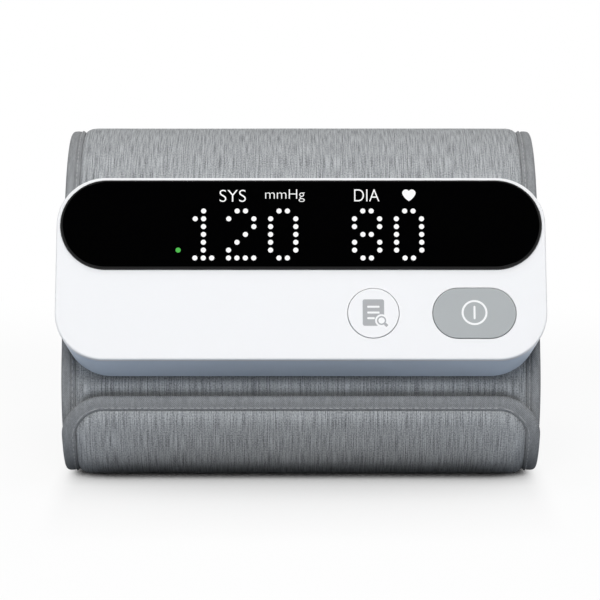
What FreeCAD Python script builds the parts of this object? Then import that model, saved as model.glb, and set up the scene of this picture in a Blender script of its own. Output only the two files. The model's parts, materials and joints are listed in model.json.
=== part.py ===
import FreeCAD, Part
import math
import os

# Upper-arm blood pressure monitor: a flat case carried on a wrapped fabric cuff.
# Millimetres. +X to the user's right, +Y away from the user, +Z up.
# The origin is the middle of the flat underside that the cuff stands on.

# Cuff: the strip that wraps round the arm
CUFF_WIDTH = 144.0
BASE_DEPTH = 54.0
FRONT_BEND_R = 27.3
FACET_LEAN = 21.0
FACET_LENGTH = 42.5
TOP_BEND_R = 39.0
CREST_FALL = 6.0
TAIL_TURN = 45.0
STEP_TURN = 7.0
FLAP_TURN = 85.5
FLAP_FOLD_TURN = 40.0
FLAP_GAP = 0.3
FLAP_CORNER_R = 13.0

# Cuff: cloth, bladder and tape
PANEL_CROWN = 2.05
PANEL_TONGUE = 0.8
SHOULDER = 2.6
BLADDER_T = 1.2
BLADDER_MARGIN = 6.5
BLADDER_BACK_TURN = 60.0
CURL_SHEET_T = 1.0
CURL_SHEET_MARGIN = 2.0
LINING_T = 0.8
HOOK_PAD_T = 0.75
HOOK_PAD_MARGIN = 1.6
TAPE_T = 0.55
TAPE_COVER = 4.2
TAPE_STAND = 0.65
END_TAPE = 3.0
PLY_GAP = 0.05
LAP_GAP = 0.3

# Case: the two moulded shells
CASE_WIDTH = 144.8
CASE_HEIGHT = 55.7
CASE_DEPTH = 21.2
CASE_CORNER_R = 14.4
CASE_DROP = 5.9
CASE_SEAT_GAP = 0.1
WALL = 2.0
COVER_T = 2.2
COVER_SKIRT = 2.0
COVER_EDGE_R = 0.6
REAR_EDGE_R = 0.5
SIDE_DRAFT = 1.5
LIP_T = 1.0
LIP_DEPTH = 2.2
LIP_GAP = 0.15

# Case: lens and display
LENS_SIDE_RIM = 1.1
LENS_TOP_RIM = 0.95
LENS_HEIGHT = 27.5
LENS_T = 2.2
LENS_PROUD = 1.0
LENS_EDGE_R = 0.8
LENS_GAP = 0.1
LENS_TAPE_W = 1.6
LENS_TAPE_T = 0.15
WINDOW_MARGIN = 2.4
WINDOW_CORNER_R = 4.0
DOT_PITCH_X = 2.48
DOT_PITCH_V = 2.41
DOT_ROWS = 7
DIGIT_COLUMNS = 4
DIGIT_STARTS = (-1, 4, 9, 19, 24)
DOT_GRID_X = -31.3
DOT_GRID_RISE = 4.03
DOT_CELL_RIM = 0.2
SIGN_ROW_RISE = 8.98
SIGN_ROW_HEIGHT = 3.6
MASK_GAP = 0.2
LED_T = 1.4

# Case: buttons and their switches
BUTTON_V = 14.0
START_FROM_SIDE = 21.43
START_LENGTH = 24.4
START_HEIGHT = 15.2
BUTTON_SPACING = 29.7
MEMORY_D = 15.0
BUTTON_GAP = 0.2
BUTTON_PROUD = 0.25
BUTTON_EDGE_R = 0.2
BUTTON_TRAVEL = 0.4
FLANGE_OUT = 1.0
FLANGE_T = 0.7
FLANGE_GAP = 0.2
STEM_R = 2.0
STEM_LENGTH = 0.6
SWITCH_SIDE = 6.0
SWITCH_H = 1.5
SWITCH_GAP = 0.15
PLUNGER_R = 1.5
PLUNGER_SINK = 0.7

# Case: fixings
BOSS_R = 2.8
BOSS_WALL_GAP = 0.8
BOSS_SIDE_INSET = 6.4
BOSS_TOP_DROP = 17.0
BOSS_PUMP_GAP = 11.6
BOSS_MEET = 8.0
SCREW_R = 0.85
SCREW_HEAD_R = 2.0
SCREW_HEAD_T = 1.6
SCREW_REACH = 6.0
SCREW_SINK = 4.0
PILOT_GAP = 0.05
SHANK_GAP = 0.4
PLATE_MARGIN = 10.0
PLATE_HEIGHT = 14.0
PLATE_NIPPLE_GAP = 0.5
PLATE_T = 0.95
POST_R = 2.4
POST_GAP = 0.15
POST_INSET = 7.0
POST_INNER_X = 20.0
POST_HEAD_R = 2.8
POST_HEAD_GAP = 0.3

# Case: boards, cell and charging socket
BOARD_T = 1.2
BOARD_EDGE_GAP = 0.8
BOARD_SIDE_GAP = 1.4
BOARD_SPLIT = 2.6
BOARD_POST_R = 1.5
BOARD_POST_INSET = 2.4
BOARD_POST_DROP = 4.0
LOW_POST_GAP = 0.3
SOCKET_POST_GAP = 8.0
MAIN_BOARD_LENGTH = 67.0
LED_BOARD_INSET = 2.3
CHIP_SIDE = 4.0
CHIP_T = 1.0
CHIP_SWITCH_GAP = 7.0
CHIP_RISE = 10.5
END_CHIP_INSET = 4.0
CELL_INSET = 6.0
CELL_TOP_GAP = 2.9
CELL_LENGTH = 50.0
CELL_T = 7.2
CELL_CORNER_R = 2.0
CELL_TAPE_T = 0.3
CELL_TAPE_INSET = 4.0
SOCKET_LENGTH = 7.4
SOCKET_WIDTH = 8.9
SOCKET_HEIGHT = 3.2
SOCKET_SHELL_T = 0.3
SOCKET_TONGUE_LENGTH = 5.0
SOCKET_TONGUE_WIDTH = 6.7
SOCKET_TONGUE_T = 0.7
SOCKET_V = 21.0
SOCKET_GAP = 0.15

# Pump: motor, crank and diaphragm head
PUMP_SIDE_GAP = 2.6
PUMP_WALL_GAP = 3.2
GROMMET_T = 1.0
GROMMET_WIDTH = 4.0
GROMMET_GAP = 0.1
MOTOR_LENGTH = 22.0
CAN_WALL = 0.6
MAGNET_T = 1.0
MAGNET_START = 5.0
MAGNET_LENGTH = 14.0
MAGNET_ARC = 130.0
MAGNET_GAP = 0.05
ROTOR_AIR_GAP = 0.4
ROTOR_LENGTH = 12.0
SHAFT_R = 0.75
SHAFT_GAP = 0.06
SHAFT_END_GAP = 0.15
BUSH_R = 2.0
BUSH_LENGTH = 1.8
END_CAP_T = 2.0
HEAD_WALL = 1.0
HEAD_LENGTH = 9.8
CRANK_R = 2.6
CRANK_LENGTH = 2.5
CRANK_GAP = 1.5
CRANK_WEB = 0.8
CRANK_PIN_R = 0.6
CRANK_OFFSET = 1.0
ROCKER_RIM = 0.7
ROCKER_T = 1.6
ROCKER_GAP = 0.8
ROCKER_LEG_R = 0.9
CUP_R = 1.9
CUP_GAP = 1.5
CUP_DEPTH = 1.2
DIAPHRAGM_T = 1.2
VALVE_PLATE_T = 2.2
LID_T = 3.4

# Air path: nozzles, hoses, block, nipple, release valve and sensor
NOZZLE_R = 1.15
NOZZLE_BORE_R = 0.6
NOZZLE_LENGTH = 5.0
HOSE_R = 2.2
HOSE_GAP = 0.05
BLOCK_LENGTH = 15.0
BLOCK_SIDE = 5.0
NIPPLE_R = 1.9
NIPPLE_BORE_R = 0.9
NIPPLE_DISC_R = 5.0
NIPPLE_DISC_T = 0.9
NIPPLE_GAP = 0.15
NIPPLE_SINK = 1.5
VALVE_LENGTH = 20.0
VALVE_BOARD_GAP = 2.25
VALVE_FRAME_T = 0.6
VALVE_CAP_T = 2.0
VALVE_TRAVEL = 0.5
COIL_FRAME_GAP = 0.1
COIL_GAP = 0.2
ARMATURE_R = 1.7
ARMATURE_LENGTH = 9.0
ARMATURE_NOSE_R = 0.9
SPRING_LENGTH = 2.6
SPRING_WIRE = 0.4
SENSOR_SIDE = 6.0
SENSOR_T = 2.4
SENSOR_VALVE_GAP = 6.0
SENSOR_RISE = 4.0

# Worked-out sizes of the cuff
HALF_CUFF = CUFF_WIDTH / 2
TAPE_EDGE = HALF_CUFF - TAPE_COVER
CROWN_EDGE = TAPE_EDGE - 2 * PLY_GAP
TONGUE_EDGE = HALF_CUFF - TAPE_T - PLY_GAP
TONGUE_TOP = TAPE_STAND - TAPE_T - PLY_GAP
TONGUE_FOOT = TONGUE_TOP - PANEL_TONGUE
BLADDER_TOP = -PLY_GAP
SHEET_TOP = BLADDER_TOP - BLADDER_T - PLY_GAP
LINING_TOP = SHEET_TOP - CURL_SHEET_T - PLY_GAP
LINING_FOOT = LINING_TOP - LINING_T
THICK_FOOT = LINING_FOOT - PLY_GAP - TAPE_T
HOOK_TOP = -PLY_GAP
HOOK_HALF = CROWN_EDGE - HOOK_PAD_MARGIN
THIN_FOOT = HOOK_TOP - HOOK_PAD_T - TAPE_T
LAP_STEP = PANEL_CROWN + LAP_GAP - THIN_FOOT

# Worked-out sizes of the case, from its face inwards
PARTING_W = CASE_DEPTH - COVER_SKIRT
COVER_UNDER = CASE_DEPTH - COVER_T
LIP_INSET = WALL + LIP_GAP + SIDE_DRAFT * LIP_DEPTH / PARTING_W
LENS_FLOOR = CASE_DEPTH + LENS_PROUD - LENS_T
LENS_LENGTH = CASE_WIDTH - 2 * LENS_SIDE_RIM
LENS_V = CASE_HEIGHT - LENS_TOP_RIM - LENS_HEIGHT / 2
FLANGE_TOP = COVER_UNDER - FLANGE_GAP
FLANGE_FOOT = FLANGE_TOP - FLANGE_T
STEM_FOOT = FLANGE_FOOT - STEM_LENGTH
SWITCH_TOP = STEM_FOOT - BUTTON_TRAVEL - SWITCH_GAP
BOARD_TOP = SWITCH_TOP - SWITCH_H
BOARD_W = BOARD_TOP - BOARD_T
START_X = CASE_WIDTH / 2 - START_FROM_SIDE
MEMORY_X = START_X - BUTTON_SPACING
BOSS_SIDE_X = CASE_WIDTH / 2 - BOSS_SIDE_INSET
BOSS_LOW_V = WALL + BOSS_WALL_GAP + BOSS_R
BOSS_HIGH_V = CASE_HEIGHT - BOSS_TOP_DROP
BOSS_RIGHT_X = (MEMORY_X + MEMORY_D / 2 + START_X - START_LENGTH / 2) / 2
LED_BOARD_LENGTH = 2 * (BOSS_SIDE_X - BOSS_R - BOARD_EDGE_GAP)
LED_BOARD_HEIGHT = LENS_HEIGHT - 2 * LED_BOARD_INSET
LED_BOARD_V = LENS_V - LED_BOARD_HEIGHT / 2
WINDOW_LENGTH = LED_BOARD_LENGTH - 2 * WINDOW_MARGIN
WINDOW_HEIGHT = LENS_HEIGHT - 2 * WINDOW_MARGIN
MAIN_BOARD_V = BOSS_LOW_V + BOSS_R + BOARD_EDGE_GAP
MAIN_BOARD_HEIGHT = LED_BOARD_V - BOARD_SPLIT - MAIN_BOARD_V
MAIN_BOARD_X = CASE_WIDTH / 2 - WALL - SIDE_DRAFT - BOARD_SIDE_GAP - MAIN_BOARD_LENGTH
CELL_X = -LED_BOARD_LENGTH / 2 + CELL_INSET
CELL_FOOT = WALL + CELL_TAPE_T
SOCKET_W = BOARD_W - SOCKET_HEIGHT / 2
SOCKET_DRAFT = SIDE_DRAFT * (1 - (SOCKET_W - SOCKET_HEIGHT / 2) / PARTING_W)
SOCKET_FACE_X = CASE_WIDTH / 2 - SOCKET_DRAFT - SOCKET_GAP
SEAT_N = PANEL_CROWN + CASE_SEAT_GAP
PLATE_LENGTH = min(CUFF_WIDTH, CASE_WIDTH) - 2 * PLATE_MARGIN
POST_OUTER_X = PLATE_LENGTH / 2 - POST_INSET
POST_SPOTS = (-POST_OUTER_X, -POST_INNER_X, POST_INNER_X, POST_OUTER_X)

# Worked-out sizes of the pump and the air path
PUMP_ROOM_R = (COVER_UNDER - WALL) / 2
PUMP_W = WALL + PUMP_ROOM_R
PUMP_R = PUMP_ROOM_R - GROMMET_GAP - GROMMET_T
PUMP_V = WALL + PUMP_WALL_GAP + PUMP_R + GROMMET_T
PUMP_X = -CASE_WIDTH / 2 + WALL + SIDE_DRAFT + PUMP_SIDE_GAP
MAGNET_R = PUMP_R - CAN_WALL - MAGNET_GAP
ROTOR_R = MAGNET_R - MAGNET_T - ROTOR_AIR_GAP
LEG_RING_R = PUMP_R - HEAD_WALL - CUP_GAP - CUP_R
ROCKER_R = LEG_RING_R + ROCKER_LEG_R + ROCKER_RIM
ROTOR_START = MAGNET_START + (MAGNET_LENGTH - ROTOR_LENGTH) / 2
HEAD_START = MOTOR_LENGTH + END_CAP_T
CRANK_START = HEAD_START + CRANK_GAP
CRANK_END = CRANK_START + CRANK_LENGTH
CRANK_PIN_LENGTH = ROCKER_GAP + ROCKER_T
ROCKER_START = CRANK_END + CRANK_WEB + ROCKER_GAP
DIAPHRAGM_START = HEAD_START + HEAD_LENGTH
LID_START = DIAPHRAGM_START + DIAPHRAGM_T + VALVE_PLATE_T
PUMP_END_X = PUMP_X + LID_START + LID_T
BOSS_LEFT_X = PUMP_END_X + BOSS_PUMP_GAP + BOSS_R
BOSS_SPOTS = (
    (-BOSS_SIDE_X, BOSS_HIGH_V),
    (BOSS_SIDE_X, BOSS_HIGH_V),
    (BOSS_LEFT_X, BOSS_LOW_V),
    (BOSS_RIGHT_X, BOSS_LOW_V),
)
VALVE_SIDE = BOARD_W - WALL - VALVE_BOARD_GAP
VALVE_X = CASE_WIDTH / 2 - CASE_CORNER_R - VALVE_LENGTH
COIL_R = VALVE_SIDE / 2 - VALVE_FRAME_T - COIL_FRAME_GAP
AIR_V = PUMP_V
AIR_W = WALL + VALVE_SIDE / 2
NIPPLE_X = (PUMP_END_X + VALVE_X) / 2
BLOCK_X = NIPPLE_X - BLOCK_LENGTH / 2
POST_V = AIR_V + NIPPLE_DISC_R + PLATE_NIPPLE_GAP + PLATE_HEIGHT / 2
CELL_V = POST_V + POST_HEAD_R + POST_HEAD_GAP
CELL_HEIGHT = CASE_HEIGHT - WALL - CELL_TOP_GAP - CELL_V

X_AXIS = FreeCAD.Vector(1, 0, 0)
Y_AXIS = FreeCAD.Vector(0, 1, 0)
Z_AXIS = FreeCAD.Vector(0, 0, 1)

parts = {}


# The line that the strip follows, seen from the side

def direction(heading):
    return FreeCAD.Vector(0, math.cos(math.radians(heading)), math.sin(math.radians(heading)))


def outward(heading):
    return direction(heading + 90)


class Stretch:
    """One straight, or clockwise round, stretch of the strip's line."""

    def __init__(self, start, heading, length, radius=None):
        self.start = start
        self.heading = heading
        self.length = length
        self.radius = radius

    def turn(self, travel):
        return math.degrees(travel / self.radius) if self.radius else 0.0

    def centre(self):
        return self.start - outward(self.heading) * self.radius

    def at(self, travel):
        heading = self.heading - self.turn(travel)
        if self.radius:
            return self.centre() + outward(heading) * self.radius, heading
        return self.start + direction(heading) * travel, heading

    def part(self, first, last):
        point, heading = self.at(first)
        return Stretch(point, heading, last - first, self.radius)


def round_stretch(start, heading, turn, radius):
    return Stretch(start, heading, radius * math.radians(turn), radius)


def build_line():
    """The line from the strip's inner end to the flap's tip, along the underside of the outer cloth."""
    facet_heading = 90 - FACET_LEAN
    front_y = -BASE_DEPTH / 2
    back_y = BASE_DEPTH / 2
    inner_bend_r = FRONT_BEND_R - LAP_STEP
    front_centre = FreeCAD.Vector(0, front_y, PANEL_CROWN + FRONT_BEND_R)
    inner_front = front_centre - Z_AXIS * inner_bend_r
    facet_start = front_centre + outward(facet_heading) * inner_bend_r
    facet_end = facet_start + direction(facet_heading) * FACET_LENGTH
    top = facet_end - outward(facet_heading) * TOP_BEND_R + outward(-CREST_FALL) * TOP_BEND_R
    fall = math.radians(CREST_FALL)
    crest_run = back_y - top.y
    back_bend_r = (top.z - PANEL_CROWN - crest_run * math.tan(fall)) / (1 + 1 / math.cos(fall))
    back_centre = FreeCAD.Vector(0, back_y, PANEL_CROWN + back_bend_r)
    crest_end = back_centre + outward(-CREST_FALL) * back_bend_r
    tail_heading = TAIL_TURN - 180
    tail_r = back_bend_r - LAP_STEP
    tail_start = back_centre + outward(tail_heading) * tail_r
    return {
        "tail": round_stretch(tail_start, tail_heading, TAIL_TURN, tail_r),
        "inner_base": Stretch(inner_front + Y_AXIS * BASE_DEPTH, 180, BASE_DEPTH),
        "front": round_stretch(inner_front, 180, 180 - facet_heading, inner_bend_r),
        "facet": Stretch(facet_start, facet_heading, FACET_LENGTH),
        "top": round_stretch(facet_end, facet_heading, facet_heading + CREST_FALL, TOP_BEND_R),
        "crest": Stretch(top, -CREST_FALL, (crest_end - top).Length),
        "back": round_stretch(crest_end, -CREST_FALL, 180 - CREST_FALL, back_bend_r),
        "base": Stretch(FreeCAD.Vector(0, back_y, PANEL_CROWN), 180, BASE_DEPTH),
        "flap": round_stretch(FreeCAD.Vector(0, front_y, PANEL_CROWN), 180, FLAP_TURN, FRONT_BEND_R),
    }


LINE = build_line()
STARTS = {}
LINE_LENGTH = 0.0
for stretch_name, line_stretch in LINE.items():
    STARTS[stretch_name] = LINE_LENGTH
    LINE_LENGTH += line_stretch.length
BODY_START = END_TAPE + PLY_GAP
THICK_STOP = STARTS["base"] - LINE["back"].radius * math.radians(TAIL_TURN + STEP_TURN)
FOLD = STARTS["flap"] + FRONT_BEND_R * math.radians(FLAP_FOLD_TURN)
FLAP_START = FOLD + FLAP_GAP


def stretches_between(first, last):
    found = []
    for name, stretch in LINE.items():
        low = max(first - STARTS[name], 0.0)
        high = min(last - STARTS[name], stretch.length)
        if high - low > 1e-6:
            found.append(stretch.part(low, high))
    return found


def section_face(points, origin, heading):
    """A face from (x, n) points. A pair of points is the middle and the end of an arc."""
    normal = outward(heading)

    def place(point):
        return origin + X_AXIS * point[0] + normal * point[1]

    edges = []
    last = place(points[0])
    for entry in points[1:] + [points[0]]:
        if isinstance(entry[0], tuple):
            end = place(entry[1])
            edges.append(Part.Arc(last, place(entry[0]), end).toShape())
        else:
            end = place(entry)
            edges.append(Part.makeLine(last, end))
        last = end
    return Part.Face(Part.Wire(edges))


def joined(pieces):
    if len(pieces) == 1:
        return pieces[0]
    return pieces[0].multiFuse(pieces[1:]).removeSplitter()


def band(points, first, last):
    """A strip of constant section along the line, between two lengths."""
    pieces = []
    for stretch in stretches_between(first, last):
        face = section_face(points, stretch.start, stretch.heading)
        if stretch.radius:
            pieces.append(face.revolve(stretch.centre(), X_AXIS * -1, stretch.turn(stretch.length)))
        else:
            pieces.append(face.extrude(direction(stretch.heading) * stretch.length))
    return joined(pieces)


def oblong(half_width, foot, top):
    return [(-half_width, foot), (half_width, foot), (half_width, top), (-half_width, top)]


# The cuff

def crown_section():
    """The outer cloth's raised middle, with round shoulders."""
    flat = CROWN_EDGE - SHOULDER
    rise = PANEL_CROWN - TONGUE_TOP
    bend = math.sqrt(0.5)
    mid_x = flat + SHOULDER * bend
    mid_n = PANEL_CROWN - rise * (1 - bend)
    return [
        (-CROWN_EDGE, TONGUE_FOOT),
        (-CROWN_EDGE + PANEL_TONGUE, 0.0),
        (CROWN_EDGE - PANEL_TONGUE, 0.0),
        (CROWN_EDGE, TONGUE_FOOT),
        (CROWN_EDGE, TONGUE_TOP),
        ((mid_x, mid_n), (flat, PANEL_CROWN)),
        (-flat, PANEL_CROWN),
        ((-mid_x, mid_n), (-CROWN_EDGE, TONGUE_TOP)),
    ]


def panel_section():
    """The outer cloth with the thin tongue that lies inside each side tape."""
    crown = crown_section()
    right = [(TONGUE_EDGE, TONGUE_FOOT), (TONGUE_EDGE, TONGUE_TOP)]
    left = [(-TONGUE_EDGE, TONGUE_TOP), (-TONGUE_EDGE, TONGUE_FOOT)]
    return crown[:4] + right + crown[4:] + left


def side_tape_section(side, foot):
    """A tape folded over the strip's side edge, as a U on its side."""
    outer = side * HALF_CUFF
    web = side * (HALF_CUFF - TAPE_T)
    lip = side * TAPE_EDGE
    return [
        (outer, foot),
        (outer, TAPE_STAND),
        (lip, TAPE_STAND),
        (lip, TAPE_STAND - TAPE_T),
        (web, TAPE_STAND - TAPE_T),
        (web, foot + TAPE_T),
        (lip, foot + TAPE_T),
        (lip, foot),
    ]


def make_side_tape(side):
    thick = band(side_tape_section(side, THICK_FOOT), BODY_START, THICK_STOP)
    thin = band(side_tape_section(side, THIN_FOOT), THICK_STOP, FOLD)
    return joined([thick, thin])


def make_cuff():
    parts["wrap_panel"] = band(panel_section(), BODY_START, FOLD)
    parts["inner_end_tape"] = band(oblong(HALF_CUFF, THICK_FOOT, TAPE_STAND), 0.0, END_TAPE)
    bladder = oblong(HALF_CUFF - BLADDER_MARGIN, BLADDER_TOP - BLADDER_T, BLADDER_TOP)
    bladder_stop = STARTS["back"] + LINE["back"].radius * math.radians(BLADDER_BACK_TURN)
    parts["air_bladder"] = band(bladder, STARTS["inner_base"], bladder_stop)
    sheet = oblong(HALF_CUFF - CURL_SHEET_MARGIN, SHEET_TOP - CURL_SHEET_T, SHEET_TOP)
    parts["curl_sheet"] = band(sheet, BODY_START, THICK_STOP - PLY_GAP)
    lining = oblong(TONGUE_EDGE, LINING_FOOT, LINING_TOP)
    parts["wrap_lining"] = band(lining, BODY_START, THICK_STOP)
    parts["hook_pad"] = band(hook_section(), THICK_STOP, FOLD)
    parts["side_tape_left"] = make_side_tape(-1)
    parts["side_tape_right"] = make_side_tape(1)


def hook_section():
    return oblong(HOOK_HALF, HOOK_TOP - HOOK_PAD_T, HOOK_TOP)


def corner_cutters(half_width, tip, radius):
    """Two tools that round the corners of the strip's free end, square to the cloth."""
    reach = PANEL_CROWN + LAP_STEP
    spare = FLAP_CORNER_R
    point, heading = LINE["flap"].at(tip - STARTS["flap"] - radius / 2)
    tip_point, _ = LINE["flap"].at(tip - STARTS["flap"])
    along = direction(heading)
    normal = outward(heading)
    end = (tip_point - point).dot(along)
    low = end - radius
    inner = half_width - radius
    bend = radius * math.sqrt(0.5)
    tools = []
    for side in (-1, 1):
        def place(across, travel):
            return point + X_AXIS * (side * across) + along * travel - normal * reach

        round_edge = Part.Arc(
            place(half_width, low), place(inner + bend, low + bend), place(inner, end)
        ).toShape()
        corner = [
            place(inner, end),
            place(inner, end + spare),
            place(half_width + spare, end + spare),
            place(half_width + spare, low),
            place(half_width, low),
        ]
        edges = [round_edge] + [Part.makeLine(a, b) for a, b in zip(corner, corner[1:])]
        tools.append(Part.Face(Part.Wire(edges)).extrude(normal * (2 * reach)))
    return tools


def flap_band(points, inset, half_width):
    """A strip of the flap whose end and corners lie an inset inside the flap's outline."""
    tip = LINE_LENGTH - inset
    return band(points, FLAP_START, tip).cut(corner_cutters(half_width, tip, FLAP_CORNER_R - inset))


def make_flap():
    """The free end of the strip, which peels off the turn below it."""
    tongue_inset = TAPE_T + PLY_GAP
    crown_inset = TAPE_COVER + 2 * PLY_GAP
    tongue = flap_band(oblong(TONGUE_EDGE, TONGUE_FOOT, TONGUE_TOP), tongue_inset, TONGUE_EDGE)
    crown = flap_band(crown_section(), crown_inset, CROWN_EDGE)
    hollow_half = CROWN_EDGE - PANEL_TONGUE
    hollow = flap_band(oblong(hollow_half, 2 * TONGUE_FOOT, 0.0), HALF_CUFF - hollow_half, hollow_half)
    parts["flap_panel"] = joined([tongue.cut(hollow), crown])
    outline = flap_band(oblong(HALF_CUFF, THIN_FOOT, TAPE_STAND), 0.0, HALF_CUFF)
    middle = flap_band(oblong(TAPE_EDGE, THIN_FOOT - TAPE_T, PANEL_CROWN), TAPE_COVER, TAPE_EDGE)
    slot_half = HALF_CUFF - TAPE_T
    slot = flap_band(oblong(slot_half, THIN_FOOT + TAPE_T, TAPE_STAND - TAPE_T), TAPE_T, slot_half)
    parts["flap_tape"] = outline.cut([middle, slot])
    parts["flap_hook_pad"] = flap_band(hook_section(), HALF_CUFF - HOOK_HALF, HOOK_HALF)


# The case's own frame: x across, v up the case, w out of its back towards the user

def case_frame():
    facet = LINE["facet"]
    origin = facet.start - direction(facet.heading) * CASE_DROP + outward(facet.heading) * SEAT_N
    return FreeCAD.Placement(origin, FreeCAD.Rotation(X_AXIS, facet.heading))


CASE_FRAME = case_frame()


def placed(shape):
    moved = shape.copy()
    moved.Placement = CASE_FRAME.multiply(moved.Placement)
    return moved


def put(name, shape):
    """Stores a piece that was drawn in the case's own frame."""
    parts[name] = placed(shape)


def slab(x, v, w, length, height, depth):
    return Part.makeBox(length, height, depth, FreeCAD.Vector(x, v, w))


def rod(x, v, w, radius, length, axis):
    return Part.makeCylinder(radius, length, FreeCAD.Vector(x, v, w), axis)


def tube(x, v, w, outer, inner, length, axis):
    return rod(x, v, w, outer, length, axis).cut(rod(x, v, w, inner, length, axis))


def rounded_slab(x, v, w, length, height, radius, depth):
    """A plate centred on x and v, with round corners."""
    body = slab(x - length / 2, v - height / 2, w, length, height, depth)
    upright = [edge for edge in body.Edges if abs(edge.tangentAt(edge.FirstParameter).z) > 0.5]
    most = min(length, height) / 2 - 1e-3
    return body.makeFillet(min(radius, most), upright)


def edges_at(shape, w):
    found = []
    for edge in shape.Edges:
        box = edge.BoundBox
        if abs(box.ZMin - w) < 1e-6 and abs(box.ZMax - w) < 1e-6:
            found.append(edge)
    return found


def case_block(inset, w, depth):
    width = CASE_WIDTH - 2 * inset
    height = CASE_HEIGHT - 2 * inset
    return rounded_slab(0.0, CASE_HEIGHT / 2, w, width, height, CASE_CORNER_R - inset, depth)


def drafted_block(inset, w):
    """The rear shell's outline from w up to the parting, with its left and right sides drawn in behind."""
    depth = PARTING_W - w
    lean = SIDE_DRAFT * depth / PARTING_W
    outline = Part.Face(Part.Wire(Part.sortEdges(edges_at(case_block(inset, w, depth), PARTING_W))[0]))
    leant = [outline.extrude(FreeCAD.Vector(side * lean, 0, -depth)) for side in (-1, 1)]
    return leant[0].common(leant[1]).removeSplitter()


def start_outline(grow, w, depth):
    height = START_HEIGHT + 2 * grow
    return rounded_slab(START_X, BUTTON_V, w, START_LENGTH + 2 * grow, height, height / 2, depth)


def memory_outline(grow, w, depth):
    return rod(MEMORY_X, BUTTON_V, w, MEMORY_D / 2 + grow, depth, Z_AXIS)


def lens_outline(grow, w, depth):
    height = LENS_HEIGHT + 2 * grow
    return rounded_slab(0.0, LENS_V, w, LENS_LENGTH + 2 * grow, height, height / 2, depth)


def window_block(inset, w, depth):
    length = WINDOW_LENGTH - 2 * inset
    height = WINDOW_HEIGHT - 2 * inset
    return rounded_slab(0.0, LENS_V, w, length, height, WINDOW_CORNER_R - inset, depth)


def make_front_cover():
    shell = case_block(0.0, PARTING_W, COVER_SKIRT)
    shell = shell.makeFillet(COVER_EDGE_R, edges_at(shell, CASE_DEPTH))
    plate = case_block(LIP_INSET, COVER_UNDER, COVER_T / 2)
    lip_foot = PARTING_W - LIP_DEPTH
    lip_height = LIP_DEPTH + COVER_SKIRT / 2
    lip = case_block(LIP_INSET, lip_foot, lip_height)
    lip = lip.cut(case_block(LIP_INSET + LIP_T, lip_foot, lip_height))
    solids = [shell, plate, lip]
    openings = [
        lens_outline(LENS_GAP, LENS_FLOOR - LENS_TAPE_T, CASE_DEPTH),
        window_block(0.0, COVER_UNDER, CASE_DEPTH),
        start_outline(BUTTON_GAP, COVER_UNDER, CASE_DEPTH),
        memory_outline(BUTTON_GAP, COVER_UNDER, CASE_DEPTH),
    ]
    for x, v in BOSS_SPOTS:
        solids.append(rod(x, v, BOSS_MEET, BOSS_R, COVER_UNDER - BOSS_MEET, Z_AXIS))
        openings.append(rod(x, v, BOSS_MEET, SCREW_R + PILOT_GAP, SCREW_REACH, Z_AXIS))
    put("front_cover", joined(solids).cut(openings))


def board_posts():
    """Where the posts that carry the two boards stand."""
    right = MAIN_BOARD_X + MAIN_BOARD_LENGTH
    low = AIR_V - HOSE_R - LOW_POST_GAP - BOARD_POST_R
    high = MAIN_BOARD_V + MAIN_BOARD_HEIGHT - BOARD_POST_DROP
    led_x = LED_BOARD_LENGTH / 2 - BOARD_POST_INSET
    led_low = LED_BOARD_V + BOARD_POST_INSET
    led_high = LED_BOARD_V + LED_BOARD_HEIGHT - BOARD_POST_INSET
    return [
        (BLOCK_X + BLOCK_LENGTH + NOZZLE_LENGTH, low),
        (MAIN_BOARD_X + BOARD_POST_INSET, high),
        (right - SOCKET_POST_GAP, high),
        (right - BOARD_POST_INSET, low),
        (-led_x, led_low),
        (-led_x, led_high),
        (led_x, led_low),
        (led_x, led_high),
    ]


def make_rear_housing():
    tray = drafted_block(0.0, 0.0)
    tray = tray.makeFillet(REAR_EDGE_R, edges_at(tray, 0.0))
    tray = tray.cut(drafted_block(WALL, WALL))
    solids = [tray]
    holes = [rod(NIPPLE_X, AIR_V, 0.0, NIPPLE_R + NIPPLE_GAP, WALL, Z_AXIS)]
    for x, v in BOSS_SPOTS:
        solids.append(rod(x, v, WALL, BOSS_R, BOSS_MEET - WALL, Z_AXIS))
        holes.append(rod(x, v, 0.0, SCREW_R + SHANK_GAP, BOSS_MEET, Z_AXIS))
        holes.append(rod(x, v, 0.0, SCREW_HEAD_R + SHANK_GAP, SCREW_SINK, Z_AXIS))
    for x, v in board_posts():
        solids.append(rod(x, v, WALL, BOARD_POST_R, BOARD_W - WALL, Z_AXIS))
    for x in POST_SPOTS:
        holes.append(rod(x, POST_V, 0.0, POST_R + POST_GAP, WALL, Z_AXIS))
    holes.append(socket_plate(SOCKET_GAP, SOCKET_FACE_X - 2 * WALL, 4 * WALL))
    put("rear_housing", joined(solids).cut(holes))


def socket_plate(grow, x, depth):
    """The charging socket's outline, facing out of the case's right side from x."""
    height = SOCKET_HEIGHT + 2 * grow
    plate = rounded_slab(SOCKET_V, SOCKET_W, 0.0, SOCKET_WIDTH + 2 * grow, height, height / 2, depth)
    plate.Placement = side_facing(x)
    return plate


def side_facing(x):
    """Turns a shape drawn on (v, w) to face along +X from x."""
    return FreeCAD.Placement(FreeCAD.Matrix(0, 0, 1, x, 1, 0, 0, 0, 0, 1, 0, 0, 0, 0, 0, 1))


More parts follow.
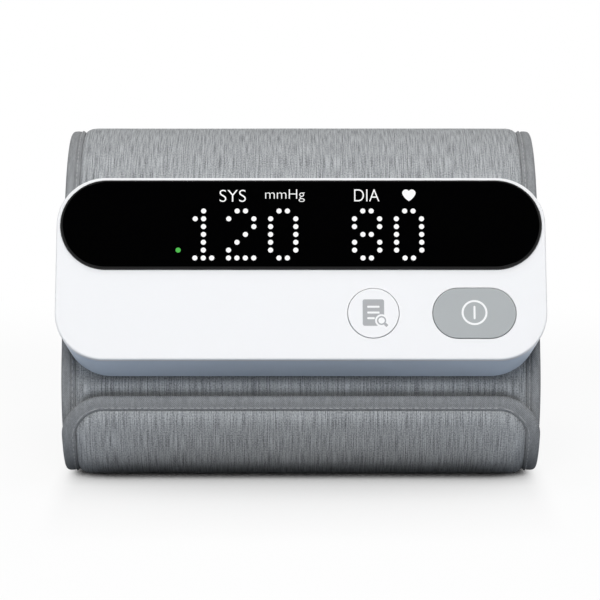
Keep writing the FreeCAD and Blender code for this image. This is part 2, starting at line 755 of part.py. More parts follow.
def make_socket():
    start = SOCKET_FACE_X - SOCKET_LENGTH
    shell = socket_plate(0.0, start, SOCKET_LENGTH)
    hollow = socket_plate(-SOCKET_SHELL_T, start + SOCKET_SHELL_T, SOCKET_LENGTH)
    tongue = slab(
        start,
        SOCKET_V - SOCKET_TONGUE_WIDTH / 2,
        SOCKET_W - SOCKET_TONGUE_T / 2,
        SOCKET_SHELL_T + SOCKET_TONGUE_LENGTH,
        SOCKET_TONGUE_WIDTH,
        SOCKET_TONGUE_T,
    )
    put("charging_socket", shell.cut(hollow).fuse(tongue).removeSplitter())


def make_lens():
    lens = lens_outline(0.0, LENS_FLOOR, LENS_T)
    put("display_lens", lens.makeFillet(LENS_EDGE_R, edges_at(lens, LENS_FLOOR + LENS_T)))
    tape_w = LENS_FLOOR - LENS_TAPE_T
    ring = lens_outline(-LENS_GAP, tape_w, LENS_TAPE_T)
    put("lens_tape", ring.cut(lens_outline(-LENS_GAP - LENS_TAPE_W, tape_w, LENS_TAPE_T)))


def light_cells(inset, depth):
    """Blocks over each digit's dots and over the row of signs above them, from the board outwards."""
    cells = []
    grid_top = LENS_V + DOT_GRID_RISE + DOT_PITCH_V / 2
    width = DIGIT_COLUMNS * DOT_PITCH_X
    height = DOT_ROWS * DOT_PITCH_V
    lefts = [DOT_GRID_X + (column - 0.5) * DOT_PITCH_X for column in DIGIT_STARTS]
    for left in lefts:
        cells.append(
            slab(
                left + inset,
                grid_top - height + inset,
                BOARD_TOP,
                width - 2 * inset,
                height - 2 * inset,
                depth,
            )
        )
    sign_low = LENS_V + SIGN_ROW_RISE - SIGN_ROW_HEIGHT / 2
    sign_width = lefts[-1] + width - lefts[0]
    cells.append(
        slab(
            lefts[0] + inset,
            sign_low + inset,
            BOARD_TOP,
            sign_width - 2 * inset,
            SIGN_ROW_HEIGHT - 2 * inset,
            depth,
        )
    )
    return cells


def make_display():
    put(
        "led_board",
        slab(-LED_BOARD_LENGTH / 2, LED_BOARD_V, BOARD_W, LED_BOARD_LENGTH, LED_BOARD_HEIGHT, BOARD_T),
    )
    mask_height = LENS_FLOOR - LENS_TAPE_T - BOARD_TOP
    mask = window_block(MASK_GAP, BOARD_TOP, mask_height)
    put("led_mask", mask.cut(light_cells(DOT_CELL_RIM, mask_height)))
    put("led_chips", Part.makeCompound(light_cells(2 * DOT_CELL_RIM, LED_T)))


def make_button(name, outline, x):
    """A cap with a flange that keeps it under the cover, and a stem that meets its switch."""
    cap = outline(0.0, FLANGE_FOOT, CASE_DEPTH + BUTTON_PROUD - FLANGE_FOOT)
    cap = cap.makeFillet(BUTTON_EDGE_R, edges_at(cap, CASE_DEPTH + BUTTON_PROUD))
    flange = outline(FLANGE_OUT, FLANGE_FOOT, FLANGE_T)
    stem = rod(x, BUTTON_V, STEM_FOOT, STEM_R, STEM_LENGTH, Z_AXIS)
    put(name, joined([cap, flange, stem]))


def make_switch(name, x):
    """A push switch on the main board, and the plunger that its button presses."""
    side = SWITCH_SIDE
    body = slab(x - side / 2, BUTTON_V - side / 2, BOARD_TOP, side, side, SWITCH_H)
    plunger_foot = SWITCH_TOP - PLUNGER_SINK
    well_foot = plunger_foot - BUTTON_TRAVEL - SWITCH_GAP
    well = rod(x, BUTTON_V, well_foot, PLUNGER_R + SWITCH_GAP, SWITCH_TOP - well_foot, Z_AXIS)
    put(name, body.cut(well))
    plunger = rod(x, BUTTON_V, plunger_foot, PLUNGER_R, STEM_FOOT - plunger_foot, Z_AXIS)
    put(name + "_plunger", plunger)


def make_boards():
    put(
        "main_board",
        slab(MAIN_BOARD_X, MAIN_BOARD_V, BOARD_W, MAIN_BOARD_LENGTH, MAIN_BOARD_HEIGHT, BOARD_T),
    )
    left = MEMORY_X - SWITCH_SIDE / 2 - CHIP_SWITCH_GAP - CHIP_SIDE / 2
    middle = (MEMORY_X + START_X) / 2
    right = MAIN_BOARD_X + MAIN_BOARD_LENGTH - END_CHIP_INSET
    high = MAIN_BOARD_V + CHIP_RISE
    half = CHIP_SIDE / 2
    chips = []
    for x, v in ((left, high), (middle, high), (right, MAIN_BOARD_V + END_CHIP_INSET)):
        chips.append(slab(x - half, v - half, BOARD_TOP, CHIP_SIDE, CHIP_SIDE, CHIP_T))
    put("board_chips", Part.makeCompound(chips))


def make_cell():
    middle_x = CELL_X + CELL_LENGTH / 2
    middle_v = CELL_V + CELL_HEIGHT / 2
    put(
        "battery_cell",
        rounded_slab(middle_x, middle_v, CELL_FOOT, CELL_LENGTH, CELL_HEIGHT, CELL_CORNER_R, CELL_T),
    )
    tape_x = CELL_X + CELL_TAPE_INSET
    tape_v = CELL_V + CELL_TAPE_INSET
    tape_length = CELL_LENGTH - 2 * CELL_TAPE_INSET
    tape_height = CELL_HEIGHT - 2 * CELL_TAPE_INSET
    put("battery_tape", slab(tape_x, tape_v, WALL, tape_length, tape_height, CELL_TAPE_T))


def make_case_screws():
    screws = []
    shank = BOSS_MEET + SCREW_REACH - PILOT_GAP - SCREW_SINK
    for x, v in BOSS_SPOTS:
        head = rod(x, v, SCREW_SINK - SCREW_HEAD_T, SCREW_HEAD_R, SCREW_HEAD_T, Z_AXIS)
        screws.append(head.fuse(rod(x, v, SCREW_SINK, SCREW_R, shank, Z_AXIS)))
    put("case_screws", Part.makeCompound(screws))


def make_mount_plate():
    """A plate under the outer cloth. Its posts pass through the cloth and are screwed inside the case."""
    foot = -SEAT_N
    solids = [rounded_slab(0.0, POST_V, foot, PLATE_LENGTH, PLATE_HEIGHT, PLATE_HEIGHT / 2, PLATE_T)]
    pilots = []
    screws = []
    shank_foot = foot + PLATE_T + PILOT_GAP
    for x in POST_SPOTS:
        solids.append(rod(x, POST_V, foot, POST_R, SEAT_N + WALL, Z_AXIS))
        pilots.append(rod(x, POST_V, foot + PLATE_T, SCREW_R + PILOT_GAP, SEAT_N + WALL, Z_AXIS))
        head = rod(x, POST_V, WALL, POST_HEAD_R, SCREW_HEAD_T, Z_AXIS)
        screws.append(head.fuse(rod(x, POST_V, shank_foot, SCREW_R, WALL - shank_foot, Z_AXIS)))
    put("mount_plate", joined(solids).cut(pilots))
    put("mount_screws", Part.makeCompound(screws))


def open_panel_for_case():
    """The pocket and the holes in the outer cloth for the mount plate and the air nipple."""
    below = SEAT_N + PLATE_T
    length = PLATE_LENGTH + 2 * POST_GAP
    height = PLATE_HEIGHT + 2 * POST_GAP
    pocket = rounded_slab(0.0, POST_V, -below, length, height, height / 2, 2 * PLATE_T + PLY_GAP)
    tools = [pocket]
    for x in POST_SPOTS:
        tools.append(rod(x, POST_V, -below, POST_R + POST_GAP, 2 * below, Z_AXIS))
    disc_height = below - SEAT_N + NIPPLE_DISC_T + PLY_GAP
    tools.append(rod(NIPPLE_X, AIR_V, -below, NIPPLE_DISC_R + NIPPLE_GAP, disc_height, Z_AXIS))
    tools.append(rod(NIPPLE_X, AIR_V, -below, NIPPLE_R + NIPPLE_GAP, 2 * below, Z_AXIS))
    parts["wrap_panel"] = parts["wrap_panel"].cut([placed(tool) for tool in tools])


# The pump, with lengths along its axis from the motor's closed end

def pump_rod(start, radius, length, v=0.0, w=0.0):
    return rod(PUMP_X + start, PUMP_V + v, PUMP_W + w, radius, length, X_AXIS)


def pump_tube(start, outer, inner, length):
    return pump_rod(start, outer, length).cut(pump_rod(start, inner, length))


def make_motor():
    can = pump_rod(0.0, PUMP_R, MOTOR_LENGTH)
    put("motor_can", can.cut(pump_rod(CAN_WALL, PUMP_R - CAN_WALL, MOTOR_LENGTH)))
    put("motor_end_cap", pump_tube(MOTOR_LENGTH, PUMP_R, BUSH_R, END_CAP_T))
    bore = SHAFT_R + SHAFT_GAP
    bushes = [pump_tube(start, BUSH_R, bore, BUSH_LENGTH) for start in (CAN_WALL, MOTOR_LENGTH)]
    put("motor_bushes", Part.makeCompound(bushes))
    put("motor_magnets", Part.makeCompound([magnet(turn) for turn in (0, 180)]))
    shaft_start = CAN_WALL + SHAFT_END_GAP
    put("motor_shaft", pump_rod(shaft_start, SHAFT_R, CRANK_END - shaft_start))
    put("rotor_core", pump_tube(ROTOR_START, ROTOR_R, SHAFT_R, ROTOR_LENGTH))
    hub = pump_tube(CRANK_START, CRANK_R, SHAFT_R, CRANK_LENGTH)
    web = pump_rod(CRANK_END, CRANK_R, CRANK_WEB)
    pin = pump_rod(CRANK_END + CRANK_WEB, CRANK_PIN_R, CRANK_PIN_LENGTH, CRANK_OFFSET)
    put("pump_crank", joined([hub, web, pin]))


def magnet(turn):
    """A curved magnet on the inside of the motor's can."""
    ring = Part.makeCylinder(MAGNET_R, MAGNET_LENGTH, FreeCAD.Vector(), Z_AXIS, MAGNET_ARC)
    ring = ring.cut(Part.makeCylinder(MAGNET_R - MAGNET_T, MAGNET_LENGTH))
    along = FreeCAD.Rotation(Y_AXIS, 90)
    spin = FreeCAD.Rotation(Z_AXIS, turn - MAGNET_ARC / 2)
    place = FreeCAD.Vector(PUMP_X + MAGNET_START, PUMP_V, PUMP_W)
    ring.Placement = FreeCAD.Placement(place, along.multiply(spin))
    return ring


def make_pump_head():
    put("pump_head_case", pump_tube(HEAD_START, PUMP_R, PUMP_R - HEAD_WALL, HEAD_LENGTH))
    hole_r = CRANK_PIN_R + CRANK_OFFSET + 2 * SHAFT_GAP
    rocker = [pump_tube(ROCKER_START, ROCKER_R, hole_r, ROCKER_T)]
    leg_start = ROCKER_START + ROCKER_T
    cup_start = DIAPHRAGM_START - CUP_DEPTH
    diaphragm = [pump_rod(DIAPHRAGM_START, PUMP_R, DIAPHRAGM_T)]
    for turn in (90, 210, 330):
        v = LEG_RING_R * math.cos(math.radians(turn))
        w = LEG_RING_R * math.sin(math.radians(turn))
        rocker.append(pump_rod(leg_start, ROCKER_LEG_R, cup_start - PLY_GAP - leg_start, v, w))
        diaphragm.append(pump_rod(cup_start, CUP_R, CUP_DEPTH, v, w))
    put("pump_rocker", joined(rocker))
    put("pump_diaphragm", joined(diaphragm))
    put("pump_valve_plate", pump_rod(DIAPHRAGM_START + DIAPHRAGM_T, PUMP_R, VALVE_PLATE_T))
    aside = AIR_W - PUMP_W
    nozzle = pump_rod(LID_START + LID_T, NOZZLE_R, NOZZLE_LENGTH, 0.0, aside)
    bore = pump_rod(LID_START, NOZZLE_BORE_R, LID_T + NOZZLE_LENGTH, 0.0, aside)
    put("pump_lid", pump_rod(LID_START, PUMP_R, LID_T).fuse(nozzle).cut(bore))
    motor_ring = (MOTOR_LENGTH - GROMMET_WIDTH) / 2
    head_ring = HEAD_START + (HEAD_LENGTH - GROMMET_WIDTH) / 2
    rings = []
    for start in (motor_ring, head_ring):
        rings.append(pump_tube(start, PUMP_R + GROMMET_T, PUMP_R, GROMMET_WIDTH))
    put("pump_grommets", Part.makeCompound(rings))


# The air path, along one line through the pump's nozzle, the block and the release valve

def air_rod(x, radius, length):
    return rod(x, AIR_V, AIR_W, radius, length, X_AXIS)


def air_tube(x, outer, inner, length):
    return tube(x, AIR_V, AIR_W, outer, inner, length, X_AXIS)


def make_air_block():
    """The block that joins the pump's hose, the valve's hose and the nipple into the bladder."""
    half = BLOCK_SIDE / 2
    foot = AIR_W - half
    start = BLOCK_X - NOZZLE_LENGTH
    block = slab(BLOCK_X, AIR_V - half, foot, BLOCK_LENGTH, BLOCK_SIDE, BLOCK_SIDE)
    nozzles = [air_rod(x, NOZZLE_R, NOZZLE_LENGTH) for x in (start, BLOCK_X + BLOCK_LENGTH)]
    along = air_rod(start, NOZZLE_BORE_R, BLOCK_LENGTH + 2 * NOZZLE_LENGTH)
    seat = rod(NIPPLE_X, AIR_V, foot, NIPPLE_R + HOSE_GAP, NIPPLE_SINK, Z_AXIS)
    down = rod(NIPPLE_X, AIR_V, foot, NOZZLE_BORE_R, half, Z_AXIS)
    put("air_block", joined([block] + nozzles).cut([along, seat, down]))
    stem_top = foot + NIPPLE_SINK - HOSE_GAP
    stem = rod(NIPPLE_X, AIR_V, -SEAT_N, NIPPLE_R, stem_top + SEAT_N, Z_AXIS)
    disc = rod(NIPPLE_X, AIR_V, -SEAT_N, NIPPLE_DISC_R, NIPPLE_DISC_T, Z_AXIS)
    bore = rod(NIPPLE_X, AIR_V, -SEAT_N, NIPPLE_BORE_R, stem_top + SEAT_N, Z_AXIS)
    put("bladder_nipple", stem.fuse(disc).cut(bore))


def make_hose(name, start, end):
    length = end - start - 2 * HOSE_GAP
    put(name, air_tube(start + HOSE_GAP, HOSE_R, NOZZLE_R + HOSE_GAP, length))


def make_release_valve():
    """A solenoid valve: a steel bracket round a coil, and a sprung armature that shuts the air nozzle."""
    half = VALVE_SIDE / 2
    low_v = AIR_V - half
    foot = AIR_W - half
    frame_x = VALVE_X + VALVE_CAP_T
    frame_length = VALVE_LENGTH - VALVE_CAP_T
    base = slab(frame_x, low_v, foot, frame_length, VALVE_SIDE, VALVE_FRAME_T)
    end_x = VALVE_X + VALVE_LENGTH - VALVE_FRAME_T
    end = slab(end_x, low_v, foot, VALVE_FRAME_T, VALVE_SIDE, VALVE_SIDE)
    put("valve_frame", joined([base, end]))
    cap = slab(VALVE_X, low_v, foot, VALVE_CAP_T, VALVE_SIDE, VALVE_SIDE)
    nozzle = air_rod(VALVE_X - NOZZLE_LENGTH, NOZZLE_R, NOZZLE_LENGTH)
    bore = air_rod(VALVE_X - NOZZLE_LENGTH, NOZZLE_BORE_R, NOZZLE_LENGTH + VALVE_CAP_T)
    put("valve_cap", cap.fuse(nozzle).cut(bore))
    coil_bore = ARMATURE_R + COIL_GAP
    put("valve_coil", air_tube(frame_x, COIL_R, coil_bore, frame_length - VALVE_FRAME_T))
    spring_outer = ARMATURE_NOSE_R + COIL_GAP + SPRING_WIRE
    spring_inner = ARMATURE_NOSE_R + COIL_GAP
    put("valve_spring", air_tube(frame_x, spring_outer, spring_inner, SPRING_LENGTH))
    shoulder = frame_x + SPRING_LENGTH
    nose_start = frame_x + VALVE_TRAVEL + PLY_GAP
    nose = air_rod(nose_start, ARMATURE_NOSE_R, shoulder - nose_start)
    put("valve_armature", joined([nose, air_rod(shoulder, ARMATURE_R, ARMATURE_LENGTH)]))


def make_sensor():
    x = VALVE_X - SENSOR_VALVE_GAP - SENSOR_SIDE
    put(
        "pressure_sensor",
        slab(x, AIR_V + SENSOR_RISE, BOARD_W - SENSOR_T, SENSOR_SIDE, SENSOR_SIDE, SENSOR_T),
    )


def make_case():
    make_front_cover()
    make_rear_housing()
    make_lens()
    make_display()
    make_button("start_button", start_outline, START_X)
    make_button("memory_button", memory_outline, MEMORY_X)
    make_switch("start_switch", START_X)
    make_switch("memory_switch", MEMORY_X)
    make_boards()
    make_cell()
    make_socket()
    make_case_screws()
    make_mount_plate()
    open_panel_for_case()


def make_air_circuit():
    make_motor()
    make_pump_head()
    make_air_block()
    make_hose("pump_hose", PUMP_END_X, BLOCK_X)
    make_hose("valve_hose", BLOCK_X + BLOCK_LENGTH, VALVE_X)
    make_release_valve()
    make_sensor()


make_cuff()
make_flap()
make_case()
make_air_circuit()

os.makedirs("parts", exist_ok=True)
for node, shape in parts.items():
    shape.exportStep("parts/" + node + ".step")
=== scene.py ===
import json
import math
from collections import namedtuple

import bmesh
import bpy
from mathutils import Matrix, Vector, noise


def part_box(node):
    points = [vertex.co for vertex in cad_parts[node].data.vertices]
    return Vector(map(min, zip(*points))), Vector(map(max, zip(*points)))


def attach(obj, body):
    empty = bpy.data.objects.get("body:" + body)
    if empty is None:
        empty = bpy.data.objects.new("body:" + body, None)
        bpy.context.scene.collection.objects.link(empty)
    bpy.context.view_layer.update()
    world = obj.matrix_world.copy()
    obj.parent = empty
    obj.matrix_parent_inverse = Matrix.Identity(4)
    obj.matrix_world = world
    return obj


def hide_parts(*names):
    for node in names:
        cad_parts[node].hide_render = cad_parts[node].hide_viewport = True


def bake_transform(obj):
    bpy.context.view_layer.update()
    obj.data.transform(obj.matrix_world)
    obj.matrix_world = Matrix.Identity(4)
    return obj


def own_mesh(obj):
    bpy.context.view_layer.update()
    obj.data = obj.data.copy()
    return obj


# An upper-arm blood pressure monitor: a flat case with a lit display, fixed on a rolled and padded cuff.
# Metres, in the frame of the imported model: +X to the right, +Y to the back, +Z up.
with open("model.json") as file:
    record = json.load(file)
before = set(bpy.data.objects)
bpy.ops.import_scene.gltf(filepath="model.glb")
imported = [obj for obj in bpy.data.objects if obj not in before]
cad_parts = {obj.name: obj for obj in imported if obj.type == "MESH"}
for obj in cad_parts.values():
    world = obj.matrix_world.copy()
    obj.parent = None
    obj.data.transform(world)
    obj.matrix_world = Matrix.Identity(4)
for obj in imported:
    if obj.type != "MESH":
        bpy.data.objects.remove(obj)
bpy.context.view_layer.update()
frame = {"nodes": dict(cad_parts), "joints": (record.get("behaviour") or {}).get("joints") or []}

# Outer cloth of the cuff
# Grey melange knit on thin foam, cut as one long strip and sewn down along both sides, so that its middle
# stands up as a soft pad. It is rolled once round the space for the arm, and its end laps over its start.
MM = 0.001
HALF_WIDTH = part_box("side_tape_right")[1].x
BASE_DEPTH = 54.0 * MM
FRONT_BEND = 27.3 * MM
FACET_LEAN = 21.0
FACET_LENGTH = 42.5 * MM
TOP_BEND = 39.0 * MM
CREST_FALL = 6.0
TAIL_TURN = 45.0
STEP_TURN = 7.0
FLAP_TURN = 85.5
SPLIT_TURN = 17.0
LAP_STEP = 3.7 * MM
PAD_TOP = 2.05 * MM
PAD_SHOULDER = 3.6 * MM
PAD_UNEVEN = 0.09 * MM
UNEVEN_WIDTH = 22.0 * MM
FLAP_CORNER = 13.0 * MM
SWELL_RISE = 1.1 * MM
SWELL_AT = 2.7 * MM
SWELL_REACH = 1.9 * MM
FLAP_DIP = 1.3 * MM
FLAP_DIP_AT = -0.9 * MM
FLAP_DIP_REACH = 1.6 * MM
CASE_DIP = 0.9 * MM
CASE_DIP_AT = 5.3 * MM
CASE_DIP_REACH = 1.3 * MM
SAG_RISE = 1.6 * MM
SAG_TURN = 40.0
SAG_REACH = 8.0 * MM
SEAM_STAND = 0.06 * MM
TAPE_COVER = 4.2 * MM
TONGUE_INSET = 0.6 * MM
END_TAPE = 3.05 * MM
CLOTH_DARK = (0.134, 0.140, 0.147, 1.0)
CLOTH_LIGHT = (0.520, 0.536, 0.548, 1.0)
YARN = (0.33 * MM, 6.5 * MM)
STREAK = (0.6 * MM, 70.0 * MM)
FLECK = (0.34 * MM, 0.45 * MM)
KNIT_ROW = 0.6 * MM
KNIT_WALE = 0.62 * MM
ROW_WOBBLE = 0.6 * MM
CLOTH_TONES = (0.31, 0.63)
CLOTH_RELIEF = 0.12 * MM
ACROSS_STEP = 3.0 * MM
ALONG_STEP = 1.5 * MM
FINE_STEP = 0.5 * MM
FINE_LEAD = 8.0 * MM
SHOULDER_STEP = 10
SMOOTH_BELOW = 45.0
SPOT_DIGITS = 7
pad_edge = HALF_WIDTH - TAPE_COVER
tongue_edge = HALF_WIDTH - TONGUE_INSET


def heading_vector(heading):
    angle = math.radians(heading)
    return Vector((0.0, math.cos(angle), math.sin(angle)))


Stretch = namedtuple("Stretch", "start heading length bend")


def rolled_line():
    """The straight and bent stretches of the strip, from its inner end to the flap's tip."""
    facet_heading = 90.0 - FACET_LEAN
    facet_out = heading_vector(facet_heading + 90.0)
    up = Vector((0.0, 0.0, 1.0))
    back = Vector((0.0, 1.0, 0.0))
    front_foot = Vector((0.0, -BASE_DEPTH / 2, PAD_TOP))
    front_middle = front_foot + up * FRONT_BEND
    inner_bend = FRONT_BEND - LAP_STEP
    inner_foot = front_middle - up * inner_bend
    facet = front_middle + facet_out * inner_bend
    facet_end = facet + heading_vector(facet_heading) * FACET_LENGTH
    crest_out = heading_vector(90.0 - CREST_FALL)
    crest = facet_end - facet_out * TOP_BEND + crest_out * TOP_BEND
    fall = math.radians(CREST_FALL)
    drop = (BASE_DEPTH / 2 - crest.y) * math.tan(fall)
    back_bend = (crest.z - PAD_TOP - drop) / (1.0 + 1.0 / math.cos(fall))
    back_foot = front_foot + back * BASE_DEPTH
    crest_end = back_foot + up * back_bend + crest_out * back_bend
    tail_bend = back_bend - LAP_STEP
    tail_heading = TAIL_TURN - 180.0
    tail = back_foot + up * back_bend + heading_vector(tail_heading + 90.0) * tail_bend
    top_length = TOP_BEND * math.radians(facet_heading + CREST_FALL)
    return {
        "tail": Stretch(tail, tail_heading, tail_bend * math.radians(TAIL_TURN), tail_bend),
        "inner_base": Stretch(inner_foot + back * BASE_DEPTH, 180.0, BASE_DEPTH, None),
        "front": Stretch(inner_foot, 180.0, inner_bend * math.radians(180.0 - facet_heading), inner_bend),
        "facet": Stretch(facet, facet_heading, FACET_LENGTH, None),
        "top": Stretch(facet_end, facet_heading, top_length, TOP_BEND),
        "crest": Stretch(crest, -CREST_FALL, (crest_end - crest).length, None),
        "back": Stretch(crest_end, -CREST_FALL, back_bend * math.radians(180.0 - CREST_FALL), back_bend),
        "base": Stretch(back_foot, 180.0, BASE_DEPTH, None),
        "flap": Stretch(front_foot, 180.0, FRONT_BEND * math.radians(FLAP_TURN), FRONT_BEND),
    }


ROLL = rolled_line()
LINE_LENGTH = sum(stretch.length for stretch in ROLL.values())
FLAP_BEGIN = LINE_LENGTH - ROLL["flap"].length
SPLIT = FLAP_BEGIN + FRONT_BEND * math.radians(SPLIT_TURN)
THICK_STOP = FLAP_BEGIN - BASE_DEPTH - ROLL["back"].bend * math.radians(TAIL_TURN + STEP_TURN)
FLAP_OVER = ROLL["tail"].length + ROLL["inner_base"].length + ROLL["front"].bend * math.radians(FLAP_TURN)
SAG_AT = FLAP_BEGIN + FRONT_BEND * math.radians(SAG_TURN)
FINE_FROM = FLAP_OVER - FINE_LEAD
FINE_TO = FLAP_OVER + CASE_DIP_AT + 3.0 * CASE_DIP_REACH


def lay(across, travel, stand):
    """Where a point of the strip lies: across it, along it, and above the underside of its outer cloth."""
    for start, heading, length, bend in ROLL.values():
        if travel <= length:
            break
        travel -= length
    else:
        travel += length
    if bend:
        out = heading_vector(heading + 90.0 - math.degrees(travel / bend))
        point = start - heading_vector(heading + 90.0) * bend + out * (bend + stand)
    else:
        point = start + heading_vector(heading) * travel + heading_vector(heading + 90.0) * stand
    return Vector((across, point.y, point.z))


def even_steps(first, last, step):
    count = max(1, math.ceil(abs(last - first) / step))
    return [first + (last - first) * k / count for k in range(count + 1)]


def grid_faces(rows, columns):
    """Faces of a sheet of points in rows, with the rows along the strip and the columns across it."""
    return [
        (r * columns + c, r * columns + c + 1, (r + 1) * columns + c + 1, (r + 1) * columns + c)
        for r in range(rows - 1)
        for c in range(columns - 1)
    ]


def show(mesh):
    """Puts a finished mesh in the scene as a smooth piece of its own name."""
    mesh.shade_smooth()
    mesh.set_sharp_from_angle(angle=math.radians(SMOOTH_BELOW))
    piece = bpy.data.objects.new(mesh.name, mesh)
    bpy.context.scene.collection.objects.link(piece)
    return piece


def face_outward(mesh):
    """Turns every face of a closed mesh to its outer side."""
    shell = bmesh.new()
    shell.from_mesh(mesh)
    bmesh.ops.recalc_face_normals(shell, faces=shell.faces)
    shell.to_mesh(mesh)
    shell.free()


def rolled_piece(name, places, faces):
    """A piece of the cuff from flat places on the strip, which it also keeps for its cloth's pattern."""
    mesh = bpy.data.meshes.new(name)
    mesh.from_pydata([lay(*place) for place in places], [], faces)
    flat = mesh.attributes.new("strip", "FLOAT_VECTOR", "POINT")
    flat.data.foreach_set("vector", [value for place in places for value in place])
    face_outward(mesh)
    return show(mesh)


def sewn_pad(name, top, faces, under):
    """A closed pad: its top at the given places, its underside flat, and places that coincide made one."""
    index = {}
    kept = []
    places = []
    for place in top:
        spot = (round(place[0], SPOT_DIGITS), round(place[1], SPOT_DIGITS))
        if spot not in index:
            index[spot] = len(places)
            places.append(place)
        kept.append(index[spot])
    faces = [tuple(kept[i] for i in face) for face in faces]
    rim = set()
    for face in faces:
        for a, b in zip(face, face[1:] + face[:1]):
            if (b, a) in rim:
                rim.remove((b, a))
            else:
                rim.add((a, b))
    count = len(places)
    low = [(across, travel, under) for across, travel, stand in places]
    shell = faces + [tuple(count + i for i in reversed(face)) for face in faces]
    shell += [(b, a, count + a, count + b) for a, b in sorted(rim)]
    return rolled_piece(name, places + low, shell)


def bump(distance, middle, reach):
    """A smooth hill of height 1 about a middle."""
    return math.exp(-(((distance - middle) / reach) ** 2))


def past_flap(across, travel):
    """How far a place on the inner layer lies outside the flap's edge above it, round corners included."""
    ahead = travel - FLAP_OVER
    aside = abs(across) - HALF_WIDTH + FLAP_CORNER
    if aside <= 0.0 or ahead <= -FLAP_CORNER:
        return max(ahead, aside - FLAP_CORNER)
    return math.hypot(aside, ahead + FLAP_CORNER) - FLAP_CORNER


def pad_swell(across, travel):
    """The pad swells between flap and case, is pressed in beside both, and sags at its lower front."""
    beside = past_flap(across, travel)
    swell = SWELL_RISE * bump(beside, SWELL_AT, SWELL_REACH)
    swell -= FLAP_DIP * bump(beside, FLAP_DIP_AT, FLAP_DIP_REACH)
    swell -= CASE_DIP * bump(travel - FLAP_OVER, CASE_DIP_AT, CASE_DIP_REACH)
    return swell + SAG_RISE * bump(travel, SAG_AT, SAG_REACH)


def pad_stand(across, travel, inset):
    """The pad's height at a place, from its inset behind the binding's inner edge."""
    if inset <= 0.0:
        return SEAM_STAND
    share = min(1.0, inset / PAD_SHOULDER)
    rise = math.sqrt(1.0 - (1.0 - share) ** 2)
    uneven = PAD_UNEVEN * noise.noise(Vector((across, travel, 0.0)) / UNEVEN_WIDTH)
    return SEAM_STAND + (PAD_TOP - SEAM_STAND) * rise + (uneven + pad_swell(across, travel)) * share


def fill(tree, node, inputs):
    """Sets or links the input sockets of a shader node."""
    for name, value in inputs.items():
        if isinstance(value, bpy.types.NodeSocket):
            tree.links.new(value, node.inputs[name])
        else:
            node.inputs[name].default_value = value


def put(tree, kind, inputs, **settings):
    """Adds a shader node with its own settings, and fills its input sockets."""
    node = tree.nodes.new(kind)
    for name, value in settings.items():
        setattr(node, name, value)
    fill(tree, node, inputs)
    return node


def maths(tree, operation, *values):
    """The result of one sum on numbers and sockets."""
    return put(tree, "ShaderNodeMath", dict(enumerate(values)), operation=operation).outputs[0]


def remap(tree, value, source, target=(0.0, 1.0), fade="LINEAR"):
    """A value moved from one range to another, and held at its ends."""
    limits = {"From Min": source[0], "From Max": source[1], "To Min": target[0], "To Max": target[1]}
    return put(tree, "ShaderNodeMapRange", {"Value": value, **limits}, interpolation_type=fade).outputs[0]


def effect_group(name, inputs, outputs):
    """An empty shader group with named sockets, and its two end nodes."""
    group = bpy.data.node_groups.new(name, "ShaderNodeTree")
    for label, kind, value in inputs:
        socket = group.interface.new_socket(label, in_out="INPUT", socket_type="NodeSocket" + kind)
        if value is not None:
            socket.default_value = value
    for label, kind in outputs:
        group.interface.new_socket(label, in_out="OUTPUT", socket_type="NodeSocket" + kind)
    return group, group.nodes.new("NodeGroupInput"), group.nodes.new("NodeGroupOutput")


def flat_noise(tree, place, spot, detail):
    """Noise on the strip, in spots of a width across it and a length along it."""
    width, length = spot
    scaled = put(
        tree, "ShaderNodeVectorMath", {0: place, 1: (1.0 / width, 1.0 / length, 0.0)}, operation="MULTIPLY"
    )
    spots = put(tree, "ShaderNodeTexNoise", {"Vector": scaled.outputs[0], "Scale": 1.0, "Detail": detail})
    return spots.outputs[0]


def weighted_sum(tree, parts):
    total = None
    for value, weight in parts:
        scaled = maths(tree, "MULTIPLY", value, weight)
        total = scaled if total is None else maths(tree, "ADD", total, scaled)
    return total


def ripple(tree, distance, pitch):
    """A wave from 0 to 1 of a given pitch along a distance."""
    phase = maths(tree, "MULTIPLY", distance, 2 * math.pi / pitch)
    return maths(tree, "MULTIPLY_ADD", maths(tree, "SINE", phase), 0.5, 0.5)


def cloth_group(name, dark, light):
    """An empty group for a cloth: a place on the strip and two yarn colours in, colour and height out."""
    return effect_group(
        name,
        [("Place", "Vector", None), ("Dark", "Color", dark), ("Light", "Color", light)],
        [("Colour", "Color"), ("Height", "Float")],
    )


def mix_yarns(group, start, end, mixed, tones, height):
    """Turns a mixed tone into a colour between the two yarns, and puts it out with the height."""
    colour = put(
        group, "ShaderNodeMix",
        {"Factor": remap(group, mixed, tones), 6: start.outputs["Dark"], 7: start.outputs["Light"]},
        data_type="RGBA",
    )
    group.links.new(colour.outputs[2], end.inputs["Colour"])
    group.links.new(height, end.inputs["Height"])


def melange_knit():
    """Cloth of mixed dark and light yarns: streaks along the strip, with the fine rows of the knit."""
    group, start, end = cloth_group("melange knit", CLOTH_DARK, CLOTH_LIGHT)
    place = start.outputs["Place"]
    yarn = flat_noise(group, place, YARN, detail=0.0)
    streak = flat_noise(group, place, STREAK, detail=0.0)
    fleck = flat_noise(group, place, FLECK, detail=1.0)
    axes = put(group, "ShaderNodeSeparateXYZ", {0: place})
    wobble = maths(group, "MULTIPLY_ADD", fleck, ROW_WOBBLE, axes.outputs[1])
    rows = ripple(group, wobble, KNIT_ROW)
    wales = ripple(group, axes.outputs[0], KNIT_WALE)
    knit = maths(group, "MULTIPLY", rows, wales)
    mixed = weighted_sum(group, [(yarn, 0.32), (streak, 0.16), (fleck, 0.46), (knit, 0.06)])
    height = weighted_sum(group, [(fleck, 0.55), (knit, 0.3), (yarn, 0.4)])
    mix_yarns(group, start, end, mixed, CLOTH_TONES, height)
    return group


